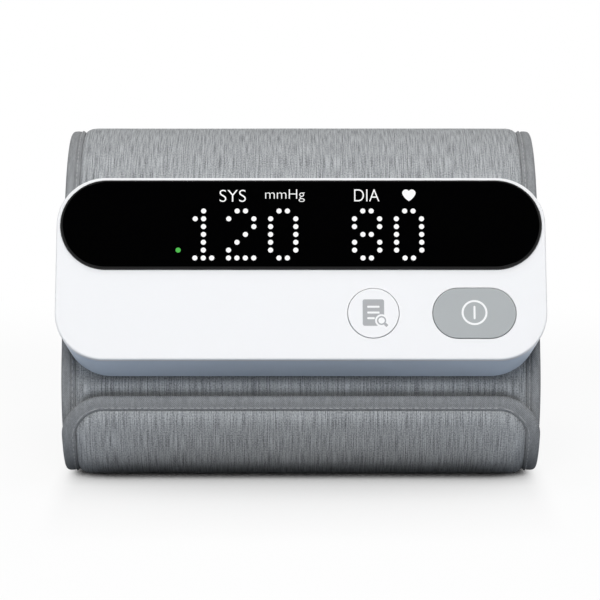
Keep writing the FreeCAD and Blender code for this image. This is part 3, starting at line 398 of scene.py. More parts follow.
def blank_material(name):
    material = bpy.data.materials.new(name)
    material.use_nodes = True
    return material, material.node_tree, material.node_tree.nodes["Principled BSDF"]


def raise_surface(tree, shader, height, depth, strength):
    """Gives a surface its fine relief."""
    relief = put(tree, "ShaderNodeBump", {"Height": height, "Distance": depth, "Strength": strength})
    tree.links.new(relief.outputs[0], shader.inputs["Normal"])


def cloth_material(name, group, dark, light, relief):
    """Cloth whose pattern follows the flat strip, with a soft sheen."""
    material, tree, shader = blank_material(name)
    strip = put(tree, "ShaderNodeAttribute", {}, attribute_name="strip", attribute_type="GEOMETRY")
    yarns = {"Place": strip.outputs["Vector"], "Dark": dark, "Light": light}
    weave = put(tree, "ShaderNodeGroup", yarns, node_tree=group)
    finish = {"Roughness": 0.92, "Specular IOR Level": 0.2, "Sheen Weight": 0.12}
    fill(tree, shader, {"Base Color": weave.outputs["Colour"], **finish})
    raise_surface(tree, shader, weave.outputs["Height"], relief, strength=0.6)
    return material


def dress(piece, material):
    piece.data.materials.clear()
    piece.data.materials.append(material)


KNIT = melange_knit()
cloth = cloth_material("melange_cloth", KNIT, CLOTH_DARK, CLOTH_LIGHT, CLOTH_RELIEF)
shoulder_turns = [math.radians(turn) for turn in range(0, 91, SHOULDER_STEP)]
shoulder_insets = [PAD_SHOULDER * (1.0 - math.cos(turn)) for turn in shoulder_turns]
shoulder = [tongue_edge] + [pad_edge - inset for inset in shoulder_insets]
columns = [-across for across in shoulder[:-1]]
columns += even_steps(-shoulder[-1], shoulder[-1], ACROSS_STEP)
columns += shoulder[-2::-1]
rows = even_steps(END_TAPE, FINE_FROM, ALONG_STEP)
rows += even_steps(FINE_FROM, FINE_TO, FINE_STEP)[1:]
rows += even_steps(FINE_TO, SPLIT, ALONG_STEP)[1:]
wrap_top = [
    (across, travel, pad_stand(across, travel, pad_edge - abs(across)))
    for travel in rows
    for across in columns
]
wrap = sewn_pad("cuff_wrap", wrap_top, grid_faces(len(rows), len(columns)), 0.0)
dress(wrap, cloth)
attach(wrap, "monitor")
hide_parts("wrap_panel")

# Flap of the cuff
# The strip's outer end, of the same padded cloth, cut with two round corners. It lies against the front of
# the roll below the case, held by hook tape, and peels forward from there to open the cuff.
FLAP_STEP = 1.2 * MM
CORNER_STEP = 5.0
PEEL_FROM = 25.0
PEEL_TO = 50.0


def flap_outline(inset, step=FLAP_STEP):
    """Places round the flap at an inset from its edge: up its left side, over its tip, down its right."""
    radius = FLAP_CORNER - inset
    middle = HALF_WIDTH - FLAP_CORNER
    begin = LINE_LENGTH - FLAP_CORNER
    left = [(-middle - radius, travel) for travel in even_steps(SPLIT, begin, step)]
    for turn in even_steps(0.0, 90.0, CORNER_STEP)[1:-1]:
        angle = math.radians(turn)
        left.append((-middle - radius * math.cos(angle), begin + radius * math.sin(angle)))
    tip = [(across, begin + radius) for across in even_steps(-middle, middle, step)]
    right = [(-across, travel) for across, travel in reversed(left)]
    return left, tip, right


def peel(piece):
    """Bakes the piece's place into its mesh. Where the flap leaves the roll is worked out, but not used."""
    start = lay(0.0, FLAP_BEGIN + FRONT_BEND * math.radians(PEEL_FROM), 0.0)
    end = lay(0.0, FLAP_BEGIN + FRONT_BEND * math.radians(PEEL_TO), 0.0)
    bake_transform(piece)


def flap_pad():
    """The flap's top: a band that follows its edge, round a middle in straight rows."""
    band_insets = [TONGUE_INSET] + [TAPE_COVER + inset for inset in shoulder_insets]
    outlines = [sum(flap_outline(inset), []) for inset in band_insets]
    places = [
        (*outline[i], pad_stand(*outline[i], inset - TAPE_COVER))
        for i in range(len(outlines[0]))
        for inset, outline in zip(band_insets, outlines)
    ]
    faces = grid_faces(len(outlines[0]), len(band_insets))
    left, tip, right = flap_outline(band_insets[-1])
    sides = left + [tip[0]]
    first = len(places)
    for across, travel in sides:
        for k in range(len(tip)):
            spot = across * (1.0 - 2.0 * k / (len(tip) - 1))
            places.append((spot, travel, pad_stand(spot, travel, PAD_SHOULDER)))
    faces += [tuple(first + i for i in face) for face in grid_faces(len(sides), len(tip))]
    return sewn_pad("cuff_flap_cloth", places, faces, 0.0)


flap = flap_pad()
dress(flap, cloth)
peel(flap)
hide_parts("flap_panel")

# Edge bindings
# Flat woven tape, folded over the cut edges of the cloth and the lining and sewn through. One runs along
# each side of the strip, one goes round the flap, and one closes the strip's inner end.
TAPE_TOP = 1.1 * MM
TAPE_T = 0.55 * MM
FOLD_R = 1.15 * MM
THICK_FOOT = -3.75 * MM
THIN_FOOT = -1.35 * MM
FOOT_STEP = 3.0 * MM
STITCH_INSET = 3.35 * MM
RIDGE_HALF = 0.34 * MM
RIDGE_RISE = 0.04 * MM
SIDE_GROOVE = 0.36 * MM
FLAP_GROOVE = 0.06 * MM
FOLD_STEPS = 5
END_DEPTH = 3.0 * MM
END_ROUND = 1.3 * MM
END_STEPS = 6
HEM_INSET = 0.3 * MM
HEM_RISE = 0.12 * MM
CROWN_INSET = 1.6 * MM
CROWN_RISE = 0.05 * MM
GROOVE_FROM = 0.45 * MM
GROOVE_TO = 0.15 * MM
RIDGE_SIDE = 0.4 * RIDGE_HALF
RIDGE_SIDE_RISE = 0.85 * RIDGE_RISE
TAPE_DARK = (0.196, 0.202, 0.208, 1.0)
TAPE_LIGHT = (0.338, 0.347, 0.355, 1.0)
TAPE_FLECK = (0.45 * MM, 0.6 * MM)
TAPE_SLUB = (1.0 * MM, 5.0 * MM)
TWILL_PITCH = 0.62 * MM
TWILL_WANDER = 0.2 * MM
TAPE_TONES = (0.34, 0.66)
TAPE_RELIEF = 0.08 * MM


def woven_tape():
    """Tight woven tape: fine twill ribs with little spread of tone."""
    group, start, end = cloth_group("woven tape", TAPE_DARK, TAPE_LIGHT)
    place = start.outputs["Place"]
    axes = put(group, "ShaderNodeSeparateXYZ", {0: place})
    fleck = flat_noise(group, place, TAPE_FLECK, detail=2.0)
    slub = flat_noise(group, place, TAPE_SLUB, detail=1.0)
    slant = maths(group, "ADD", axes.outputs[0], axes.outputs[1])
    wander = maths(group, "MULTIPLY_ADD", fleck, TWILL_WANDER, slant)
    rib = ripple(group, wander, TWILL_PITCH)
    mixed = weighted_sum(group, [(fleck, 0.45), (slub, 0.35), (rib, 0.2)])
    height = weighted_sum(group, [(rib, 0.6), (fleck, 0.4)])
    mix_yarns(group, start, end, mixed, TAPE_TONES, height)
    return group


def on_circle(x, y, radius, turns):
    """Points about a middle, at turns in radians."""
    return [(x + radius * math.cos(turn), y + radius * math.sin(turn)) for turn in turns]


def quarter(x, y, radius, first, steps):
    """A quarter of a circle about a middle, from a first turn in degrees."""
    turns = [math.radians(first + 90.0 * k / steps) for k in range(steps + 1)]
    return on_circle(x, y, radius, turns)


def tape_section(foot, groove):
    """(inset, stand) round the folded tape: under side, fold, top with its sunken seam, and back inside."""
    outside = [(TAPE_COVER, foot + HEM_RISE), (TAPE_COVER - HEM_INSET, foot)]
    outside += reversed(quarter(FOLD_R, foot + FOLD_R, FOLD_R, 180.0, FOLD_STEPS))
    outside += reversed(quarter(FOLD_R, TAPE_TOP - FOLD_R, FOLD_R, 90.0, FOLD_STEPS))
    ridge = STITCH_INSET - RIDGE_HALF
    seam = [
        (CROWN_INSET, TAPE_TOP + CROWN_RISE),
        (ridge - GROOVE_FROM, TAPE_TOP),
        (ridge - GROOVE_TO, TAPE_TOP - groove),
        (ridge, TAPE_TOP - groove),
        (STITCH_INSET - RIDGE_SIDE, TAPE_TOP + RIDGE_SIDE_RISE),
        (STITCH_INSET, TAPE_TOP + RIDGE_RISE),
        (STITCH_INSET + RIDGE_SIDE, TAPE_TOP + RIDGE_SIDE_RISE),
        (STITCH_INSET + RIDGE_HALF, TAPE_TOP - 0.5 * groove),
        (TAPE_COVER, TAPE_TOP - SIDE_GROOVE),
    ]
    lip = TAPE_TOP - TAPE_T
    inside = [(TAPE_COVER, lip), (TAPE_T, lip), (TAPE_T, foot + TAPE_T), (TAPE_COVER, foot + TAPE_T)]
    return outside + seam + inside


def tape_foot(travel):
    """The tape is folded deep where it takes in the lining, and shallow past the lining's end."""
    share = min(1.0, max(0.0, (travel - THICK_STOP) / FOOT_STEP + 1.0))
    return THICK_FOOT + (THIN_FOOT - THICK_FOOT) * share * share * (3.0 - 2.0 * share)


def tube_faces(first, rings, sides):
    """Faces of a closed tube, whose rings of points follow one another from a first point."""
    faces = []
    for r in range(rings - 1):
        for k in range(sides):
            a = first + r * sides + k
            b = first + r * sides + (k + 1) % sides
            faces.append((a, b, b + sides, a + sides))
    last = first + (rings - 1) * sides
    faces.append(tuple(range(first, first + sides)))
    faces.append(tuple(range(last, last + sides)))
    return faces


def bound_edge(name, sections):
    """A closed tape from its section at each place along the edge."""
    places = [place for section in sections for place in section]
    return rolled_piece(name, places, tube_faces(0, len(sections), len(sections[0])))


TWILL = woven_tape()
tape = cloth_material("woven_tape", TWILL, TAPE_DARK, TAPE_LIGHT, TAPE_RELIEF)
for side, node in ((-1, "side_tape_left"), (1, "side_tape_right")):
    sections = []
    for travel in even_steps(END_TAPE, SPLIT, ALONG_STEP):
        section = tape_section(tape_foot(travel), SIDE_GROOVE)
        sections.append([(side * (HALF_WIDTH - inset), travel, stand) for inset, stand in section])
    binding = bound_edge(node.replace("side_tape", "side_binding"), sections)
    dress(binding, tape)
    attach(binding, "monitor")
    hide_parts(node)

flap_section = tape_section(THIN_FOOT, FLAP_GROOVE)
flap_runs = [sum(flap_outline(inset), []) for inset, stand in flap_section]
flap_binding = bound_edge(
    "flap_binding",
    [
        [(*run[i], stand) for run, (inset, stand) in zip(flap_runs, flap_section)]
        for i in range(len(flap_runs[0]))
    ],
)
dress(flap_binding, tape)
peel(flap_binding)
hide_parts("flap_tape")

end_corners = [
    (END_ROUND, THICK_FOOT + END_ROUND, 180.0),
    (END_DEPTH - END_ROUND, THICK_FOOT + END_ROUND, 270.0),
    (END_DEPTH - END_ROUND, TAPE_TOP - END_ROUND, 0.0),
    (END_ROUND, TAPE_TOP - END_ROUND, 90.0),
]
end_section = []
for travel, stand, first in end_corners:
    end_section += quarter(travel, stand, END_ROUND, first, END_STEPS)
end_binding = bound_edge(
    "inner_end_binding",
    [
        [(across, travel, stand) for travel, stand in end_section]
        for across in even_steps(-HALF_WIDTH, HALF_WIDTH, ACROSS_STEP)
    ],
)
dress(end_binding, tape)
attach(end_binding, "monitor")
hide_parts("inner_end_tape")

# Stitching
# Grey polyester thread in a lock stitch, one row along the ridge near each binding's inner edge.
# Each stitch shows as a short raised thread whose ends go down through the tape.
THREAD_R = 0.13 * MM
STITCH_STEP = 0.33 * MM
STITCH_SPAN = 5
STITCH_SKIP = 2
STITCH_SIDES = 6
THREAD_RISE = (-0.7, 0.45, 0.7, 0.45, -0.7)
THREAD_SWELL = (0.7, 1.0, 1.0, 1.0, 0.7)
THREAD_DARK = (0.36, 0.365, 0.37, 1.0)
THREAD_LIGHT = (0.47, 0.475, 0.485, 1.0)
THREAD_RELIEF = 0.03 * MM


def stitch_row(name, row):
    """Threads along a row of closely spaced places (across, travel)."""
    places = []
    faces = []
    seam = TAPE_TOP + RIDGE_RISE
    for first in range(0, len(row) - STITCH_SPAN + 1, STITCH_SPAN + STITCH_SKIP - 1):
        run = row[first:first + STITCH_SPAN]
        along = Vector(run[-1]) - Vector(run[0])
        aside = Vector((-along.y, along.x)).normalized()
        faces += tube_faces(len(places), STITCH_SPAN, STITCH_SIDES)
        for spot, rise, swell in zip(run, THREAD_RISE, THREAD_SWELL):
            for k in range(STITCH_SIDES):
                turn = 2 * math.pi * k / STITCH_SIDES
                edge = Vector(spot) + aside * THREAD_R * swell * math.cos(turn)
                places.append((edge.x, edge.y, seam + THREAD_R * (rise + swell * math.sin(turn))))
    return rolled_piece(name, places, faces)


thread = cloth_material("sewing_thread", KNIT, THREAD_DARK, THREAD_LIGHT, THREAD_RELIEF)
stitch_travels = even_steps(END_TAPE, SPLIT, STITCH_STEP)
for side, label in ((-1, "left"), (1, "right")):
    row = [(side * (HALF_WIDTH - STITCH_INSET), travel) for travel in stitch_travels]
    stitches = stitch_row("stitching_" + label, row)
    dress(stitches, thread)
    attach(stitches, "monitor")
flap_stitches = stitch_row("flap_stitching", sum(flap_outline(STITCH_INSET, STITCH_STEP), []))
dress(flap_stitches, thread)
peel(flap_stitches)

# Lining and hook tape
# Smooth dark nylon lies on the arm, stretched inside the roll between the two side bindings.
# Past the lining's end, black hook tape backs the lap and the flap and grips the cloth below it.
LINING_TOP = -2.35 * MM
LINING_FOOT = -3.15 * MM
HOOK_TOP = -0.05 * MM
HOOK_FOOT = -0.45 * MM
HOOK_MARGIN = 1.7 * MM
HOOK_START = 0.3 * MM
HOOK_PITCH = 1.5 * MM
HOOK_HALF = 0.1 * MM
HOOK_BEND = ((0.0, -0.05), (0.0, 0.4), (0.15, 0.65), (0.4, 0.72), (0.55, 0.5))
BAND_STEP = 4.0 * MM
SQUARE = ((-1, -1), (1, -1), (1, 1), (-1, 1))
LINING_DARK = (0.055, 0.057, 0.062, 1.0)
LINING_LIGHT = (0.115, 0.118, 0.125, 1.0)
LINING_RELIEF = 0.05 * MM
HOOK_DARK = (0.030, 0.031, 0.034, 1.0)
HOOK_LIGHT = (0.075, 0.077, 0.082, 1.0)
HOOK_RELIEF = 0.1 * MM
hook_half = pad_edge - HOOK_MARGIN
hook_stop = LINE_LENGTH - TAPE_COVER - HOOK_MARGIN


def flat_strip(name, half_width, first, last, top, foot):
    """A plain band of the strip between two lengths."""
    across = even_steps(-half_width, half_width, BAND_STEP)
    travels = even_steps(first, last, ALONG_STEP)
    places = [(x, travel, top) for travel in travels for x in across]
    return sewn_pad(name, places, grid_faces(len(travels), len(across)), foot)


lining = flat_strip("cuff_lining", tongue_edge, END_TAPE, THICK_STOP, LINING_TOP, LINING_FOOT)
nylon = cloth_material("lining_nylon", TWILL, LINING_DARK, LINING_LIGHT, LINING_RELIEF)
dress(lining, nylon)
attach(lining, "monitor")
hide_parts("wrap_lining")

hook_tape = cloth_material("hook_tape", TWILL, HOOK_DARK, HOOK_LIGHT, HOOK_RELIEF)
lap_hooks = flat_strip("lap_hook_tape", hook_half, THICK_STOP + HOOK_START, SPLIT, HOOK_TOP, HOOK_FOOT)
dress(lap_hooks, hook_tape)
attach(lap_hooks, "monitor")
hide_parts("hook_pad")
flap_hooks = flat_strip("flap_hook_tape", hook_half, SPLIT, hook_stop, HOOK_TOP, HOOK_FOOT)
dress(flap_hooks, hook_tape)
peel(flap_hooks)
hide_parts("flap_hook_pad")


def hook_field(name, first, last):
    """Rows of small bent nylon hooks under the tape."""
    places = []
    faces = []
    for r, travel in enumerate(even_steps(first, last, HOOK_PITCH)):
        for across in even_steps(HOOK_PITCH - hook_half, hook_half - HOOK_PITCH, HOOK_PITCH):
            across += (r % 2 - 0.5) * HOOK_PITCH / 2
            faces += tube_faces(len(places), len(HOOK_BEND), len(SQUARE))
            for along, reach in HOOK_BEND:
                for x, y in SQUARE:
                    spot = (across + x * HOOK_HALF, travel + along * MM + y * HOOK_HALF)
                    places.append((*spot, HOOK_FOOT - reach * MM))
    return rolled_piece(name, places, faces)


hooks = hook_field("flap_hooks", SPLIT + HOOK_PITCH, hook_stop - HOOK_PITCH)
dress(hooks, hook_tape)
peel(hooks)

# Layers inside the cuff
# A rubber air bag with its stub, a springy plastic sheet that keeps the roll, and the moulded plate whose
# posts carry the case. They lie between the cloth and the lining.
RUBBER = (0.020, 0.020, 0.022, 1.0)
CURL_PLASTIC = (0.300, 0.310, 0.330, 1.0)
WORKS_PLASTIC = (0.055, 0.058, 0.062, 1.0)
GRAIN_SCALE = 2500.0
GRAIN_DEPTH = 0.004 * MM
GLOSS_SCALE = 60.0
GLOSS_SPAN = (0.3, 0.7)


def moulded_grain():
    """Fine spark-eroded grain of a moulding, with slightly uneven gloss."""
    group, start, end = effect_group(
        "moulded grain",
        [
            ("Grain", "Float", GRAIN_SCALE), ("Gloss Low", "Float", 0.4), ("Gloss High", "Float", 0.5),
            ("Uneven", "Float", 0.02),
        ],
        [("Height", "Float"), ("Roughness", "Float"), ("Shade", "Float")],
    )
    place = group.nodes.new("ShaderNodeTexCoord").outputs["Object"]
    fine_spots = {"Vector": place, "Scale": start.outputs["Grain"], "Detail": 2.0}
    fine = put(group, "ShaderNodeTexNoise", fine_spots).outputs[0]
    broad_spots = {"Vector": place, "Scale": GLOSS_SCALE, "Detail": 3.0}
    broad = put(group, "ShaderNodeTexNoise", broad_spots).outputs[0]
    gloss = remap(group, broad, GLOSS_SPAN, (start.outputs["Gloss Low"], start.outputs["Gloss High"]))
    centred = maths(group, "SUBTRACT", fine, 0.5)
    shade = maths(group, "MULTIPLY_ADD", centred, start.outputs["Uneven"], 1.0)
    fill(group, end, {"Height": fine, "Roughness": gloss, "Shade": shade})
    return group


GRAIN = moulded_grain()


def moulding_material(
    name, colour, roughness, grain=GRAIN_SCALE, depth=GRAIN_DEPTH, metallic=0.0, uneven_gloss=0.05
):
    """A solid-coloured finish with fine grain and uneven gloss."""
    material, tree, shader = blank_material(name)
    gloss = {"Gloss Low": roughness - uneven_gloss, "Gloss High": roughness + uneven_gloss}
    grained = put(tree, "ShaderNodeGroup", {"Grain": grain, **gloss}, node_tree=GRAIN)
    tint = {0: colour[:3], "Scale": grained.outputs["Shade"]}
    shaded = put(tree, "ShaderNodeVectorMath", tint, operation="SCALE").outputs[0]
    fill(tree, shader, {"Base Color": shaded, "Metallic": metallic})
    tree.links.new(grained.outputs["Roughness"], shader.inputs["Roughness"])
    raise_surface(tree, shader, grained.outputs["Height"], depth, strength=0.5)
    return material


def finish_nodes(material, *names):
    """Gives parts of the model a finish over their whole surface."""
    for name in names:
        slots = frame["nodes"][name].data.materials
        slots.clear()
        slots.append(material)


finish_nodes(moulding_material("rubber", RUBBER, roughness=0.6), "air_bladder", "bladder_nipple")
finish_nodes(moulding_material("curl_plastic", CURL_PLASTIC, roughness=0.35), "curl_sheet")
works_plastic = moulding_material("works_plastic", WORKS_PLASTIC, roughness=0.45)
finish_nodes(works_plastic, "mount_plate")

# Case shells
# Two injection mouldings that meet under the face: a gloss white front cover with round corners, and a
# blue-grey rear shell that is screwed to it from behind and stands on the cuff.
SHELL_WHITE = (0.870, 0.870, 0.877, 1.0)
SHELL_SLATE = (0.700, 0.780, 0.880, 1.0)
SHELL_GRAIN = 0.002 * MM
SHELL_UNEVEN = 0.004
white_shell = moulding_material(
    "white_shell", SHELL_WHITE, roughness=0.28, depth=SHELL_GRAIN, uneven_gloss=SHELL_UNEVEN
)
finish_nodes(white_shell, "front_cover")
finish_nodes(moulding_material("slate_shell", SHELL_SLATE, roughness=0.42), "rear_housing")

# Works inside the case
# Pump, release valve, air block and hoses, two boards with their chips, the cell, and the screws.
# They are bought parts in their usual finishes: plated steel, bronze, rubber, foil and moulded plastic.
STEEL = (0.560, 0.570, 0.580, 1.0)
BRONZE = (0.430, 0.250, 0.120, 1.0)
COPPER = (0.600, 0.230, 0.090, 1.0)
FERRITE = (0.045, 0.045, 0.048, 1.0)
BOARD_GREEN = (0.020, 0.120, 0.055, 1.0)
CHIP_BLACK = (0.018, 0.018, 0.020, 1.0)
CELL_FOIL = (0.500, 0.510, 0.525, 1.0)
finish_nodes(
    works_plastic,
    "motor_end_cap", "pump_crank", "pump_head_case", "pump_rocker", "pump_valve_plate", "pump_lid",
    "air_block", "valve_cap",
)
plated_steel = moulding_material("plated_steel", STEEL, roughness=0.3, grain=1200.0, metallic=1.0)
finish_nodes(
    plated_steel,
    "case_screws", "mount_screws", "motor_can", "motor_shaft", "rotor_core", "valve_frame",
    "valve_armature", "charging_socket",
)
finish_nodes(moulding_material("bush_bronze", BRONZE, roughness=0.4, metallic=1.0), "motor_bushes")
finish_nodes(moulding_material("copper_winding", COPPER, roughness=0.35, metallic=1.0), "valve_coil")
finish_nodes(moulding_material("ferrite", FERRITE, roughness=0.6), "motor_magnets")
finish_nodes(
    moulding_material("hose_rubber", RUBBER, roughness=0.55),
    "pump_hose", "valve_hose", "pump_grommets", "pump_diaphragm",
)
finish_nodes(moulding_material("board_green", BOARD_GREEN, roughness=0.35), "led_board", "main_board")
finish_nodes(
    moulding_material("chip_black", CHIP_BLACK, roughness=0.45),
    "board_chips", "start_switch", "memory_switch", "pressure_sensor",
)
finish_nodes(
    moulding_material("plunger_plastic", WORKS_PLASTIC, roughness=0.4),
    "start_switch_plunger", "memory_switch_plunger",
)
cell_foil = moulding_material("cell_foil", CELL_FOIL, roughness=0.3, grain=800.0, metallic=0.6)
finish_nodes(cell_foil, "battery_cell")

# Valve spring
# A small coil of plated steel wire on the armature's nose. It seats on the valve's cap, holds the armature
# off it, and is pressed shorter while the valve is shut.
SPRING_TURNS = 4
SPRING_SIDES = 8
SPRING_STEPS = 20
SPRING_WIRE_R = 0.2 * MM


def coil_spring(name, low, high):
    """A wire coil along X that fills a box, as one closed tube."""
    middle = (low + high) / 2
    coil_r = (high.z - low.z) / 2 - SPRING_WIRE_R
    first = low.x + SPRING_WIRE_R
    run = high.x - low.x - 2 * SPRING_WIRE_R
    count = SPRING_TURNS * SPRING_STEPS
    points = []
    for k in range(count + 1):
        turn = 2 * math.pi * k / SPRING_STEPS
        outward = Vector((0.0, math.cos(turn), math.sin(turn)))
        spot = Vector((first + run * k / count, middle.y, middle.z)) + outward * coil_r
        for side in range(SPRING_SIDES):
            angle = 2 * math.pi * side / SPRING_SIDES
            aside = outward * math.cos(angle) + Vector((math.sin(angle), 0.0, 0.0))
            points.append(spot + aside * SPRING_WIRE_R)
    mesh = bpy.data.meshes.new(name)
    mesh.from_pydata(points, [], tube_faces(0, count + 1, SPRING_SIDES))
    face_outward(mesh)
    return show(mesh)


spring_low, spring_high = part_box("valve_spring")
spring = coil_spring("valve_return_spring", spring_low, spring_high)
dress(spring, plated_steel)
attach(spring, "monitor")
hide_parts("valve_spring")
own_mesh(spring)

# Display
# A black acrylic lens, raised like a bar with round ends, taped into the cover over a board of emitters and
# their light mask. Lit dots make two plain numbers, and small signs for the readings stand above them.
LENS_BLACK = (0.0006, 0.0006, 0.0007, 1.0)
MASK_BLACK = (0.010, 0.010, 0.011, 1.0)
LIT_WHITE = (1.0, 1.0, 1.0, 1.0)
LIT_GREEN = (0.090, 0.520, 0.090, 1.0)
MARK_LIFT = 0.02 * MM
MARK_T = 0.02 * MM
DOT_R = 0.77 * MM
DOT_PITCH = Vector((2.48 * MM, 2.41 * MM))
DOT_FIRST = Vector((-31.3 * MM, 4.03 * MM))
DOT_SIDES = 20
RIGHT = Vector((1.0, 0.0, 0.0))
press = next(joint for joint in frame["joints"] if joint["name"] == "start_press")
OUT = -Vector(press["axis"]).normalized()
UP = OUT.cross(RIGHT)
ONE_DOTS = ((1,), (0, 1), (1,), (1,), (1,), (1,), (0, 1, 2))
TWO_DOTS = ((1, 2), (0, 3), (3,), (2,), (1,), (0,), (0, 1, 2, 3))
EIGHT_DOTS = ((1, 2), (0, 3), (0, 3), (1, 2), (0, 3), (0, 3), (1, 2))
ZERO_DOTS = ((1, 2), (0, 3), (0, 3), (0, 3), (0, 3), (0, 3), (1, 2))
DIGITS = ((0, ONE_DOTS), (4, TWO_DOTS), (9, ZERO_DOTS), (19, EIGHT_DOTS), (24, ZERO_DOTS))
PULSE_DOT = (-2, 5)
SIGN_RISE = 8.85 * MM
CAP_SHARE = 0.73
BOLD_TRIM = 0.06 * MM
FINE_TRIM = 0.055 * MM
HEART_AT = Vector((32.0 * MM, 0.05 * MM))
HEART_LOBE = Vector((0.88 * MM, 0.68 * MM))
HEART_R = 1.1 * MM
HEART_TIP = 1.8 * MM
HEART_CHEEK = -30.0
HEART_TURN = 15.0
HEART_BULGE = 0.15
HEART_SIDE_STEPS = 4
FLICKER_SCALE = 900.0
FLICKER = (0.94, 1.0)


def spread(node, axis):
    """The least and the greatest reach of a part along an axis."""
    reach = [axis.dot(point.co) for point in frame["nodes"][node].data.vertices]
    return min(reach), max(reach)


def face_spot(node):
    """The middle of a part's outer face on the case."""
    middle = [sum(spread(node, axis)) / 2 for axis in (RIGHT, UP)]
    return RIGHT * middle[0] + UP * middle[1] + OUT * spread(node, OUT)[1]


def plates(name, origin, outlines, level=0):
    """Thin raised plates of a print, from outlines in (right, up) about an origin on a face."""
    lift = MARK_LIFT + level * MARK_T
    points = []
    faces = []
    for outline in outlines:
        base = len(points)
        count = len(outline)
        for height in (lift - MARK_LIFT, lift + MARK_T):
            points += [origin + RIGHT * x + UP * y + OUT * height for x, y in outline]
        faces.append(tuple(reversed(range(base, base + count))))
        faces.append(tuple(range(base + count, base + 2 * count)))
        for k in range(count):
            after = (k + 1) % count
            faces.append((base + k, base + after, base + count + after, base + count + k))
    mesh = bpy.data.meshes.new(name)
    mesh.from_pydata(points, [], faces)
    return show(mesh)


def dot(column, row):
    """The round outline of one dot of the display."""
    turns = [2 * math.pi * k / DOT_SIDES for k in range(DOT_SIDES)]
    return on_circle(DOT_FIRST.x + column * DOT_PITCH.x, DOT_FIRST.y - row * DOT_PITCH.y, DOT_R, turns)


def glow_material(name, colour):
    """Lit plastic over an emitter, slightly uneven."""
    material, tree, shader = blank_material(name)
    place = tree.nodes.new("ShaderNodeTexCoord").outputs["Object"]
    flicker = put(tree, "ShaderNodeTexNoise", {"Vector": place, "Scale": FLICKER_SCALE})
    level = remap(tree, flicker.outputs[0], (0.0, 1.0), FLICKER)
    light = put(tree, "ShaderNodeVectorMath", {0: colour[:3], "Scale": level}, operation="SCALE")
    plain = {"Base Color": (0.0, 0.0, 0.0, 1.0), "Roughness": 0.6, "Specular IOR Level": 0.0}
    fill(tree, shader, {"Emission Color": light.outputs[0], "Emission Strength": 1.0, **plain})
    return material


def letters(name, origin, text, x, y, width, height, trim):
    """A word in plain letters, of a width and a cap height, with its middle at a place on the face."""
    curve = bpy.data.curves.new(name, "FONT")
    curve.body = text
    curve.size = height / CAP_SHARE
    curve.align_x = "CENTER"
    curve.extrude = MARK_T
    curve.offset = -trim
    holder = bpy.data.objects.new(name, curve)
    mesh = bpy.data.meshes.new_from_object(holder)
    mesh.name = name
    bpy.data.objects.remove(holder)
    reach = [point.co.x for point in mesh.vertices]
    middle = (min(reach) + max(reach)) / 2
    stretch = width / (max(reach) - min(reach))
    mesh.transform(Matrix.Diagonal((stretch, 1.0, 1.0, 1.0)) @ Matrix.Translation((-middle, 0.0, 0.0)))
    turn = Matrix((RIGHT, UP, OUT)).transposed().to_4x4()
    place = origin + RIGHT * x + UP * (y - height / 2) + OUT * MARK_LIFT
    mesh.transform(Matrix.Translation(place) @ turn)
    return show(mesh)


def heart(x, y):
    """A plump heart outline: two round lobes that run down into a blunt point."""
    notch = math.degrees(math.acos(HEART_LOBE.x / HEART_R))
    turns = [math.radians(turn) for turn in even_steps(180.0 - notch, HEART_CHEEK, HEART_TURN)]
    half = on_circle(*HEART_LOBE, HEART_R, turns)
    shoulder = Vector(half[-1])
    tip = Vector((0.0, -HEART_TIP))
    bulge = (shoulder + tip) / 2 + Vector((shoulder.y - tip.y, -shoulder.x)) * HEART_BULGE
    for k in range(1, HEART_SIDE_STEPS + 1):
        share = k / HEART_SIDE_STEPS
        side = shoulder.lerp(bulge, share).lerp(bulge.lerp(tip, share), share)
        half.append((side.x, side.y))
    left = [(-across, rise) for across, rise in reversed(half[1:-1])]
    return [(x + across, y + rise) for across, rise in reversed(half + left)]


lens_material, lens_tree, lens_shader = blank_material("black_lens")
lens_grain = put(lens_tree, "ShaderNodeGroup", {"Gloss Low": 0.05, "Gloss High": 0.09}, node_tree=GRAIN)
fill(lens_tree, lens_shader, {"Base Color": LENS_BLACK, "Specular IOR Level": 0.24})
lens_tree.links.new(lens_grain.outputs["Roughness"], lens_shader.inputs["Roughness"])
finish_nodes(lens_material, "display_lens")
mask_material = moulding_material("mask_black", MASK_BLACK, roughness=0.6)
finish_nodes(mask_material, "led_mask", "lens_tape", "battery_tape")
lit_white = glow_material("led_white", LIT_WHITE)
finish_nodes(lit_white, "led_chips")

lens_middle = face_spot("display_lens")
white_dots = [
    dot(first + column, row)
    for first, pattern in DIGITS
    for row, lit in enumerate(pattern)
    for column in lit
]
number_dots = plates("number_dots", lens_middle, white_dots)
pulse_dot = plates("pulse_dot", lens_middle, [dot(*PULSE_DOT)])
sign_row = lens_middle + UP * SIGN_RISE
signs = [
    letters(
        "upper_sign", sign_row, "SYS",
        x=-20.25 * MM, y=0.0, width=7.8 * MM, height=4.0 * MM, trim=BOLD_TRIM,
    ),
    letters(
        "unit_sign", sign_row, "mmHg",
        x=-4.75 * MM, y=0.55 * MM, width=11.7 * MM, height=3.2 * MM, trim=FINE_TRIM,
    ),
    letters(
        "lower_sign", sign_row, "DIA",
        x=19.5 * MM, y=0.16 * MM, width=7.45 * MM, height=4.1 * MM, trim=BOLD_TRIM,
    ),
    plates("heart_sign", sign_row, [heart(*HEART_AT)]),
]
for mark in [number_dots, *signs]:
    dress(mark, lit_white)
    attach(mark, "monitor")
dress(pulse_dot, glow_material("led_green", LIT_GREEN))
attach(pulse_dot, "monitor")

